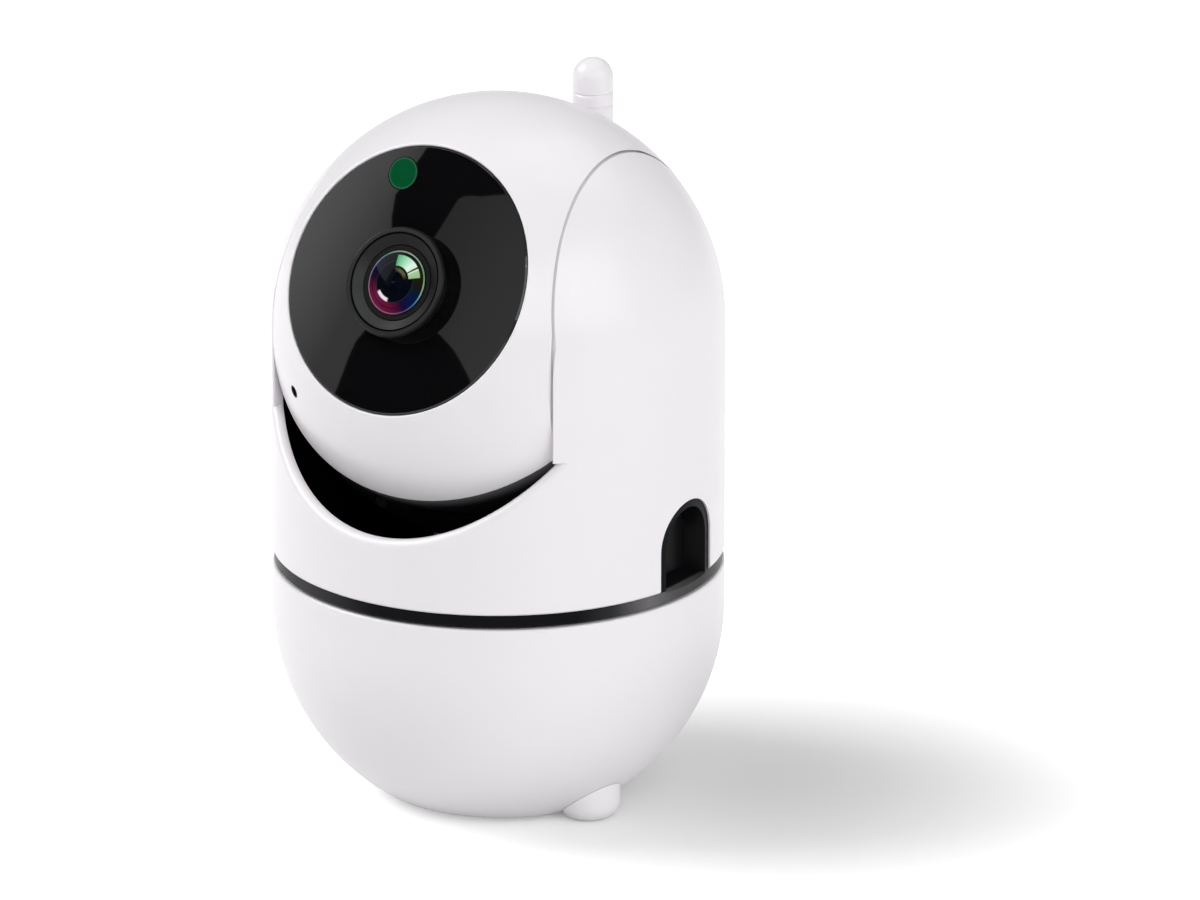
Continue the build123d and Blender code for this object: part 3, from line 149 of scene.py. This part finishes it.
def object_coordinates(tree):
    """The object's own coordinates, in metres."""
    coords = tree.nodes.get("coords") or tree.nodes.new("ShaderNodeTexCoord")
    coords.name = "coords"
    return coords.outputs["Object"]


def components(tree, vector):
    """X, Y and Z of a vector."""
    parts = tree.nodes.new("ShaderNodeSeparateXYZ")
    tree.links.new(vector, parts.inputs["Vector"])
    return parts.outputs["X"], parts.outputs["Y"], parts.outputs["Z"]


def noise(tree, scale, detail=3.0, rough=0.55, stretch=None):
    """Noise over the object's own coordinates, stretched along an axis if asked."""
    source = object_coordinates(tree)
    if stretch:
        mapping = tree.nodes.new("ShaderNodeMapping")
        mapping.inputs["Scale"].default_value = stretch
        tree.links.new(source, mapping.inputs["Vector"])
        source = mapping.outputs["Vector"]
    node = tree.nodes.new("ShaderNodeTexNoise")
    node.inputs["Scale"].default_value = scale
    node.inputs["Detail"].default_value = detail
    node.inputs["Roughness"].default_value = rough
    tree.links.new(source, node.inputs["Vector"])
    return node.outputs["Fac"]


def ranged(tree, value, low, high, start=NOISE_LOW, end=NOISE_HIGH, smooth=False):
    """Value stretched from start..end to low..high."""
    node = tree.nodes.new("ShaderNodeMapRange")
    if smooth:
        node.interpolation_type = "SMOOTHSTEP"
    node.inputs["From Min"].default_value = start
    node.inputs["From Max"].default_value = end
    node.inputs["To Min"].default_value = low
    node.inputs["To Max"].default_value = high
    tree.links.new(value, node.inputs["Value"])
    return node.outputs["Result"]


def calculate(tree, operation, first, second=None):
    """Math node on sockets or numbers."""
    node = tree.nodes.new("ShaderNodeMath")
    node.operation = operation
    for socket, value in zip(node.inputs, (first, second)):
        if value is None:
            continue
        if isinstance(value, (int, float)):
            socket.default_value = value
        else:
            tree.links.new(value, socket)
    return node.outputs[0]


def times(tree, first, second):
    """Product of two sockets or numbers."""
    return calculate(tree, "MULTIPLY", first, second)


def vector_step(tree, operation, vector, operand=None):
    """Vector Math node on a socket and, if the operation takes one, a fixed vector."""
    node = tree.nodes.new("ShaderNodeVectorMath")
    node.operation = operation
    tree.links.new(vector, node.inputs[0])
    if operand is not None:
        node.inputs[1].default_value = operand
    return node.outputs["Value" if operation in ("LENGTH", "DISTANCE") else "Vector"]


def blend(tree, factor, under, over):
    """Colour under with colour over laid on it by the factor; each a tuple or a socket."""
    node = tree.nodes.new("ShaderNodeMix")
    node.data_type = "RGBA"
    tree.links.new(factor, node.inputs["Factor"])
    for socket, value in ((node.inputs["A"], under), (node.inputs["B"], over)):
        if isinstance(value, tuple):
            socket.default_value = (*value, 1)
        else:
            tree.links.new(value, socket)
    return node.outputs["Result"]


def mottled(tree, scale, dark, light):
    """Colour that drifts from dark to light over noise of that scale."""
    return blend(tree, ranged(tree, noise(tree, scale), 0, 1), dark, light)


def ramp(tree, value, stops):
    """Colour ramp with (position, colour) stops."""
    node = tree.nodes.new("ShaderNodeValToRGB")
    elements = node.color_ramp.elements
    while len(elements) > 1:
        elements.remove(elements[-1])
    elements[0].position = stops[0][0]
    elements[0].color = (*stops[0][1], 1)
    for position, colour in stops[1:]:
        elements.new(position).color = (*colour, 1)
    tree.links.new(value, node.inputs["Fac"])
    return node.outputs["Color"]


def span(tree, value, start, end, soft):
    """1 where the value lies from start to end, falling to 0 within soft of them."""
    rise = ranged(tree, value, 0, 1, start - soft, start + soft, smooth=True)
    fall = ranged(tree, value, 1, 0, end - soft, end + soft, smooth=True)
    return times(tree, rise, fall)


def surface(tree, shader, colour, roughness, specular=0.5):
    """Gives the shader its colour, its roughness and its uniform specular level."""
    tree.links.new(colour, shader.inputs["Base Color"])
    tree.links.new(roughness, shader.inputs["Roughness"])
    shader.inputs["Specular IOR Level"].default_value = specular


def bumped(tree, shader, height, strength, distance):
    """Bump on the shader's normal."""
    bump = tree.nodes.new("ShaderNodeBump")
    bump.inputs["Strength"].default_value = strength
    bump.inputs["Distance"].default_value = distance
    tree.links.new(height, bump.inputs["Height"])
    tree.links.new(bump.outputs["Normal"], shader.inputs["Normal"])


def skin(tree, shader, grain=SKIN_GRAIN, depth=SKIN_DEPTH):
    """The fine texture of a moulded surface."""
    bumped(tree, shader, noise(tree, grain, 2.0), SKIN_STRENGTH, depth)


def polar(tree, centre):
    """Radius in millimetres and turn from 0 to 1 about the face axis through that point."""
    face_axes = Matrix((Vector((1, 0, 0)), FACE_UP, FACE_NORMAL)).transposed()
    mapping = tree.nodes.new("ShaderNodeMapping")
    mapping.vector_type = "TEXTURE"
    mapping.inputs["Location"].default_value = centre
    mapping.inputs["Rotation"].default_value = face_axes.to_euler()
    mapping.inputs["Scale"].default_value = (0.001, 0.001, 0.001)
    tree.links.new(object_coordinates(tree), mapping.inputs["Vector"])
    x, y, _ = components(tree, mapping.outputs["Vector"])
    squares = calculate(tree, "ADD", times(tree, x, x), times(tree, y, y))
    angle = calculate(tree, "DIVIDE", calculate(tree, "ARCTAN2", y, x), 2 * math.pi)
    return calculate(tree, "SQRT", squares), calculate(tree, "FRACT", angle)


# ---------------------------------------------------------------- materials
def moulded(name, dark, light, rough, coat=0.0, grain=SKIN_GRAIN, specular=0.5):
    """Moulded plastic: faint mottling, uneven gloss and a fine skin texture."""
    material, tree, shader = new_material(name)
    roughness = ranged(tree, noise(tree, 25.0, 5.0, 0.6), *rough)
    surface(tree, shader, mottled(tree, 60.0, dark, light), roughness, specular)
    skin(tree, shader, grain)
    shader.inputs["Coat Weight"].default_value = coat
    shader.inputs["Coat Roughness"].default_value = COAT_ROUGHNESS
    return material


def head():
    """Shell white with painted shade: dark painted inside and round the microphone hole."""
    material = moulded("head_white", **SHELL)
    tree = material.node_tree
    base = tree.nodes["Principled BSDF"].inputs["Base Color"]
    white = base.links[0].from_socket
    offset = vector_step(tree, "SUBTRACT", object_coordinates(tree), DOME_CENTRE)
    across = vector_step(tree, "CROSS_PRODUCT", offset, MIC_AXIS)
    distance = vector_step(tree, "LENGTH", across)
    # painted shade: the shell is coloured near-black within this radius of the hole's axis,
    # standing in for the shade inside the hole
    painted_hole_shade = ranged(tree, distance, 1, 0, MIC_PAINTED_SHADE - CRISP, MIC_PAINTED_SHADE)
    tree.links.new(blend(tree, painted_hole_shade, white, (0.010, 0.010, 0.011)), base)
    return material


def metal(name, dark, light, rough, stretch):
    """Plated or ground steel with a drawn grain."""
    material, tree, shader = new_material(name)
    grain = noise(tree, 900.0, 4.0, 0.6, stretch)
    colour = blend(tree, ranged(tree, grain, 0, 1), dark, light)
    surface(tree, shader, colour, ranged(tree, grain, *rough))
    bumped(tree, shader, grain, 0.3, 0.000006)
    shader.inputs["Metallic"].default_value = 1.0
    return material


def circuit(name):
    """Green solder mask over fine tracks."""
    material, tree, shader = new_material(name)
    wave = tree.nodes.new("ShaderNodeTexWave")
    wave.inputs["Scale"].default_value = 320.0
    wave.inputs["Distortion"].default_value = 9.0
    wave.inputs["Detail"].default_value = 1.0
    wave.inputs["Detail Scale"].default_value = 0.6
    tree.links.new(object_coordinates(tree), wave.inputs["Vector"])
    tracks = ranged(tree, wave.outputs["Fac"], 0, 1, 0.72, 0.80)
    colour = blend(tree, tracks, (0.018, 0.115, 0.055), (0.035, 0.20, 0.09))
    surface(tree, shader, colour, ranged(tree, noise(tree, 90.0), 0.30, 0.42))
    bumped(tree, shader, tracks, 0.4, 0.00003)
    return material


def chin():
    """Satin black with a painted highlight band and a faint painted glow along the head shell's
    lower edge, painted stronger on the left where the mouth lies in shade.
    """
    material, tree, shader = new_material("chin_black_painted_highlight")
    x, y, z = components(tree, object_coordinates(tree))
    lift = calculate(tree, "SUBTRACT", z, DOME_CENTRE.z)
    height = times(tree, lift, math.sin(EDGE_PITCH))
    along = calculate(tree, "ADD", times(tree, y, -math.cos(EDGE_PITCH)), height)
    below = calculate(tree, "SUBTRACT", along, EDGE_DISTANCE)
    # painted highlight: a lighter band and a glow along the head's lower edge, made stronger on
    # the left where the mouth is in shade
    painted_edge_highlight = ranged(tree, below, 0, 1, -0.0034, 0.0006, smooth=True)
    painted_left_boost = ranged(tree, x, 1.0, 0.65, -0.016, 0.012, smooth=True)
    grained = ranged(tree, noise(tree, 700.0), 0.9, 1.0)
    share = times(tree, times(tree, painted_edge_highlight, grained), painted_left_boost)
    colour = blend(tree, share, (0.0030, 0.0030, 0.0036), (0.20, 0.20, 0.21))
    surface(tree, shader, colour, ranged(tree, noise(tree, 40.0), 0.42, 0.52), 0.25)
    shader.inputs["Emission Color"].default_value = (0.97, 0.97, 1.0, 1)
    tree.links.new(times(tree, share, CHIN_PAINTED_GLOW), shader.inputs["Emission Strength"])
    return material


def ring():
    """Satin black ring with painted reflections: greyer bands painted on both sides of its front.
    """
    material, tree, shader = new_material("ring_black_painted_reflection")
    x, y, z = components(tree, object_coordinates(tree))
    angle = calculate(tree, "ARCTAN2", x, times(tree, y, -1.0))
    turn = calculate(tree, "FRACT", calculate(tree, "DIVIDE", angle, 2 * math.pi))
    # painted reflection: grey bands by turn round the ring, standing in for lamps mirrored in its
    # front
    painted_reflection = ramp(tree, turn, [(position, grey(level)) for position, level in (
        (0.000, 0.00), (0.150, 0.00), (0.178, 0.16), (0.208, 1.00), (0.235, 0.50), (0.270, 0.22),
        (0.330, 0.05), (0.880, 0.05), (0.930, 0.22), (0.960, 0.16), (1.000, 0.00),
    )])
    low = ranged(tree, z, 1, 0, RING_TOP - CRISP, RING_TOP)
    grained = ranged(tree, noise(tree, 60.0), 0.95, 1.0)
    share = times(tree, times(tree, painted_reflection, low), grained)
    colour = blend(tree, share, (0.0035, 0.0035, 0.0042), (0.150, 0.148, 0.152))
    surface(tree, shader, colour, ranged(tree, noise(tree, 25.0), 0.26, 0.34), 0.05)
    skin(tree, shader)
    return material


def plate():
    """Deep glossy black, polished, with the slightest unevenness."""
    material, tree, shader = new_material("gloss_black")
    colour = mottled(tree, 45.0, (0.0028, 0.0028, 0.0033), (0.0034, 0.0034, 0.0040))
    surface(tree, shader, colour, ranged(tree, noise(tree, 30.0), 0.012, 0.028))
    return material


def bezel():
    """Black lens ring: dark grey slope inside the rim with painted light, lighter on the lower
    left where the light falls, and a painted highlight on the rim.
    """
    material, tree, shader = new_material("bezel_black_painted_light")
    radius, turn = polar(tree, LENS_CENTRE)
    # painted light: the slope is coloured lighter on the lower left and darker on the upper
    # right, by how light falls on it
    slope = ramp(tree, turn, [
        (0.00, (0.007, 0.006, 0.006)), (0.12, (0.006, 0.006, 0.006)),
        (0.28, (0.012, 0.011, 0.011)), (0.42, (0.020, 0.020, 0.020)),
        (0.60, (0.045, 0.049, 0.047)), (0.72, (0.038, 0.040, 0.038)),
        (0.86, (0.022, 0.021, 0.020)), (1.00, (0.009, 0.008, 0.008)),
    ])
    # painted highlight: the rim is coloured lighter grey, a little lighter on one side, standing
    # in for light on its ridges
    rim = ramp(tree, turn, [
        (0.00, (0.020, 0.020, 0.021)), (0.30, (0.024, 0.024, 0.024)),
        (0.55, (0.020, 0.020, 0.020)), (0.75, (0.018, 0.018, 0.018)),
        (1.00, (0.020, 0.020, 0.021)),
    ])
    colour = blend(tree, span(tree, radius, 6.0, 7.6, 0.08), grey(0.003), slope)
    colour = blend(tree, span(tree, radius, 7.95, 8.55, 0.06), colour, rim)
    surface(tree, shader, colour, ranged(tree, noise(tree, 500.0), 0.26, 0.36), 0.10)
    skin(tree, shader, 3500.0, 0.000004)
    return material


def coated_front():
    """Front element: painted reflections of lamps in its coatings (coloured arcs, bright sectors,
    a white glint and a coloured rim) over a dark pupil, under clear gloss.
    """
    material, tree, shader = new_material("lens_front_painted_reflections")
    radius, turn = polar(tree, LENS_CENTRE)
    # painted reflection: coloured arcs by turn, standing in for lamps mirrored in the coatings
    painted_coating_reflections = ramp(tree, turn, [
        (0.00, (0.010, 0.008, 0.004)), (0.06, (0.012, 0.010, 0.004)),
        (0.30, (0.001, 0.008, 0.004)), (0.36, (0.002, 0.003, 0.010)),
        (0.44, (0.002, 0.002, 0.026)), (0.495, (0.012, 0.002, 0.016)),
        (0.53, (0.060, 0.004, 0.022)), (0.62, (0.130, 0.010, 0.050)),
        (0.74, (0.120, 0.006, 0.036)), (0.80, (0.060, 0.004, 0.030)),
        (0.84, (0.006, 0.004, 0.034)), (0.92, (0.002, 0.008, 0.055)),
        (0.965, (0.003, 0.010, 0.020)), (1.00, (0.010, 0.008, 0.004)),
    ])
    # painted reflection: the coloured rim of the glass, by turn
    edge = ramp(tree, turn, [
        (0.00, (0.25, 0.42, 0.24)), (0.06, (0.14, 0.33, 0.14)), (0.14, (0.20, 0.36, 0.27)),
        (0.22, (0.34, 0.40, 0.34)), (0.30, (0.24, 0.30, 0.25)), (0.36, (0.10, 0.22, 0.20)),
        (0.44, (0.20, 0.21, 0.30)), (0.52, (0.24, 0.16, 0.21)), (0.62, (0.36, 0.13, 0.20)),
        (0.76, (0.32, 0.08, 0.16)), (0.84, (0.09, 0.05, 0.16)), (0.90, (0.05, 0.14, 0.34)),
        (0.96, (0.20, 0.38, 0.42)), (1.00, (0.25, 0.42, 0.24)),
    ])
    # painted highlight: green-white sectors standing in for a lamp mirrored in the inner element
    painted_glare = ramp(tree, turn, [
        (0.04, (0.30, 0.50, 0.25)), (0.095, (0.36, 0.58, 0.31)), (0.10, (0.62, 0.78, 0.60)),
        (0.15, (0.70, 0.88, 0.74)), (0.21, (0.32, 0.68, 0.42)), (0.27, (0.10, 0.40, 0.20)),
    ])

    def zone(radii, turns=None):
        """Share of a ring, or of its part between two turns; each as start, end and softness."""
        share = span(tree, radius, *radii)
        return times(tree, share, span(tree, turn, *turns)) if turns else share

    inner = zone((2.55, 4.36, 0.05), (0.052, 0.278, 0.004))
    gap = times(tree, inner, span(tree, turn, 0.108, 0.120, 0.003))
    # layers of painted light: the coloured ring, the warm arc, the bright sectors, the white
    # glint and the coloured rim are painted reflections
    layers = (
        (zone((3.35, 4.86, 0.10)), painted_coating_reflections),
        (zone((3.22, 3.34, 0.06)), (0.020, 0.019, 0.034)),
        (zone((1.70, 2.20, 0.22), (0.09, 0.25, 0.05)), (0.115, 0.105, 0.048)),
        (calculate(tree, "SUBTRACT", inner, gap), painted_glare),
        (zone((2.30, 2.55, 0.05), (0.03, 0.29, 0.02)), (0.003, 0.006, 0.003)),
        (zone((4.10, 4.22, 0.06), (0.50, 0.82, 0.03)), (0.030, 0.002, 0.010)),
        (zone((2.75, 3.32, 0.08), (0.605, 0.725, 0.012)), (0.84, 0.74, 0.80)),
        (zone((4.86, 5.06, 0.05)), edge),
    )
    colour = (0.0014, 0.0020, 0.0055)
    for share, over in layers:
        colour = blend(tree, share, colour, over)
    surface(tree, shader, colour, ranged(tree, noise(tree, 50.0), 0.02, 0.05), 0.02)
    return material


def green_window():
    """Dark green window with a thin lighter rim and a dark edge."""
    material, tree, shader = new_material("window_green")
    radius, _ = polar(tree, WINDOW_CENTRE)
    colour = mottled(tree, 400.0, (0.0015, 0.068, 0.021), (0.0030, 0.078, 0.026))
    colour = blend(tree, span(tree, radius, 2.30, 2.50, 0.06), colour, (0.030, 0.110, 0.062))
    edge = ranged(tree, radius, 0, 1, 2.52, 2.58)
    colour = blend(tree, edge, colour, (0.004, 0.012, 0.007))
    surface(tree, shader, colour, ranged(tree, noise(tree, 60.0), 0.30, 0.38), 0.0)
    return material


FINISHES = {
    "white_plastic": moulded("shell_white", **SHELL),
    "foot_plastic": moulded(
        "foot_white", (0.815, 0.800, 0.820), (0.825, 0.810, 0.830), (0.32, 0.36), coat=0.15
    ),
    "black_plastic": moulded(
        "satin_black", (0.003, 0.003, 0.004), (0.005, 0.005, 0.006), (0.26, 0.34), specular=0.20
    ),
    "black_gloss": plate(),
    "bearing_plastic": moulded(
        "natural_white", (0.70, 0.69, 0.65), (0.76, 0.75, 0.71), (0.38, 0.50)
    ),
    "gear_plastic": moulded(
        "natural_cream", (0.78, 0.76, 0.68), (0.84, 0.82, 0.75), (0.40, 0.52)
    ),
    "motor_steel": metal(
        "plated_steel", (0.46, 0.46, 0.47), (0.60, 0.60, 0.61), (0.26, 0.40), (1, 1, 12)
    ),
    "shaft_steel": metal("ground_steel", grey(0.55), grey(0.68), (0.16, 0.28), (8, 8, 1)),
    "screw_steel": metal(
        "screw_steel", (0.44, 0.44, 0.45), grey(0.58), (0.24, 0.38), (4, 4, 4)
    ),
    "socket_steel": metal(
        "socket_steel", (0.52, 0.52, 0.53), grey(0.66), (0.20, 0.34), (10, 1, 1)
    ),
    "board": circuit("solder_mask"),
    "chip": moulded(
        "chip_black", (0.020, 0.020, 0.021), (0.034, 0.034, 0.035), (0.50, 0.62), grain=7000.0
    ),
    "led_lens": moulded(
        "led_clear", (0.42, 0.42, 0.46), (0.50, 0.50, 0.54), (0.10, 0.18), coat=0.5
    ),
    "lens_glass": coated_front(),
    "window_green": green_window(),
}
SPECIAL = {
    "chin_cover": chin(),
    "pan_ring": ring(),
    "lens_bezel": bezel(),
    "lens_barrel": moulded(
        "barrel_black", grey(0.002), grey(0.004), (0.30, 0.40), specular=0.10
    ),
    "head_shell": head(),
    "lens_rear_glass": moulded(
        "rear_glass", (0.004, 0.006, 0.016), (0.006, 0.009, 0.024), (0.03, 0.06), coat=0.5
    ),
    "microphone": moulded(
        "mesh_black", grey(0.004), grey(0.010), (0.50, 0.65), grain=9000.0
    ),
}

for entry in frame["record"]["subparts"]:
    mesh = frame["nodes"][entry["node"]].data
    mesh.materials.clear()
    mesh.materials.append(SPECIAL.get(entry["node"]) or FINISHES[entry["material_slot"]])


# ---------------------------------------------------------------- floor, light and camera
def from_camera(turn, height):
    """Direction that many degrees to the right of the camera and above the floor."""
    azimuth = AZIMUTH + math.radians(turn)
    rise = math.radians(height)
    return Vector((
        math.sin(azimuth) * math.cos(rise),
        -math.cos(azimuth) * math.cos(rise),
        math.sin(rise),
    ))


def area_light(name, turn, height, distance, power, width, tall):
    """Soft rectangular lamp that looks at the middle of the body."""
    direction = from_camera(turn, height)
    data = bpy.data.lights.new(name, "AREA")
    data.shape = "RECTANGLE"
    data.size = width
    data.size_y = tall
    data.energy = power
    lamp = bpy.data.objects.new(name, data)
    lamp.location = BODY_MIDDLE + direction * distance
    lamp.rotation_euler = direction.to_track_quat("Z", "Y").to_euler()
    lamp.visible_camera = False
    bpy.context.scene.collection.objects.link(lamp)


def flat_piece(name, points, material):
    """Flat piece of the studio from one outline."""
    mesh = bpy.data.meshes.new(name)
    mesh.from_pydata(points, [], [tuple(range(len(points)))])
    mesh.materials.append(material)
    piece = bpy.data.objects.new(name, mesh)
    bpy.context.scene.collection.objects.link(piece)
    return piece


def looking(tree):
    """1 for camera and transmission rays, and MIRRORED_WHITE for glossy ones."""
    rays = tree.nodes.new("ShaderNodeLightPath")
    mirrored = times(tree, rays.outputs["Is Glossy Ray"], MIRRORED_WHITE)
    through = calculate(tree, "MAXIMUM", mirrored, rays.outputs["Is Transmission Ray"])
    return calculate(tree, "MAXIMUM", rays.outputs["Is Camera Ray"], through)


def floor():
    """Pale floor, lifted to white away from the object's shadow."""
    material, tree, shader = new_material("floor_white")
    tree.links.new(mottled(tree, 3.0, grey(0.785), grey(0.795)), shader.inputs["Base Color"])
    shader.inputs["Roughness"].default_value = 0.9
    shader.inputs["Specular IOR Level"].default_value = 0.0
    shader.inputs["Emission Color"].default_value = WHITE
    away = vector_step(tree, "DISTANCE", object_coordinates(tree), right * SHADOW_CENTRE)
    lift = ranged(tree, away, 0.0, FLOOR_LIFT, 0.0, SHADOW_REACH, smooth=True)
    tree.links.new(times(tree, looking(tree), lift), shader.inputs["Emission Strength"])
    return material


def glow(name, low, high, start, end):
    """Light card whose strength runs across its own width."""
    material = bpy.data.materials.new(name)
    material.use_nodes = True
    tree = material.node_tree
    tree.nodes.remove(tree.nodes["Principled BSDF"])
    light = tree.nodes.new("ShaderNodeEmission")
    x, _, _ = components(tree, object_coordinates(tree))
    tree.links.new(ranged(tree, x, low, high, start, end), light.inputs["Strength"])
    tree.links.new(light.outputs["Emission"], tree.nodes["Material Output"].inputs["Surface"])
    return material


corners = ((-1, -1), (1, -1), (1, 1), (-1, 1))
flat_piece("floor", [(x * FLOOR_REACH, y * FLOOR_REACH, 0) for x, y in corners], floor())

world = bpy.data.worlds.new("studio")
bpy.context.scene.world = world
world.use_nodes = True
sky = world.node_tree
_, _, sky_height = components(sky, sky.nodes.new("ShaderNodeTexCoord").outputs["Generated"])
sky_light = ranged(sky, sky_height, HORIZON_LIGHT, ZENITH_LIGHT, 0.0, ZENITH_HEIGHT, smooth=True)
background = sky.nodes["Background"]
background.inputs["Color"].default_value = WHITE
sky.links.new(calculate(sky, "MAXIMUM", sky_light, looking(sky)), background.inputs["Strength"])

for lamp_name, settings in LAMPS.items():
    area_light(lamp_name, *settings)

mirror_way = (2 * FACE_NORMAL.dot(to_camera) * FACE_NORMAL - to_camera).normalized()
card_x = Vector((0, 0, 1)).cross(mirror_way).normalized()
card_y = mirror_way.cross(card_x)
card_axes = Matrix((card_x, card_y, card_x.cross(card_y))).transposed().to_4x4()
for card_name, (card_distance, outline, strengths) in CARDS.items():
    points = [(x / 1000, y / 1000, 0) for x, y in outline]
    card = flat_piece(card_name, points, glow(card_name, *strengths))
    card.matrix_world = Matrix.Translation(PLATE_TOP + mirror_way * card_distance) @ card_axes
    card.visible_camera = False
    card.visible_diffuse = False
    card.visible_shadow = False
    card.visible_transmission = False

camera_data = bpy.data.cameras.new("camera")
camera_data.lens = LENS
camera_data.sensor_width = SENSOR
camera_data.sensor_fit = "HORIZONTAL"
camera_data.clip_start = 0.05
camera_data.clip_end = 20.0
camera = bpy.data.objects.new("camera", camera_data)
camera.location = view_centre + to_camera * (FRAME_WIDTH * LENS / SENSOR)
camera.rotation_euler = to_camera.to_track_quat("Z", "Y").to_euler()
bpy.context.scene.collection.objects.link(camera)
bpy.context.scene.camera = camera
bpy.context.scene.view_settings.view_transform = "Standard"
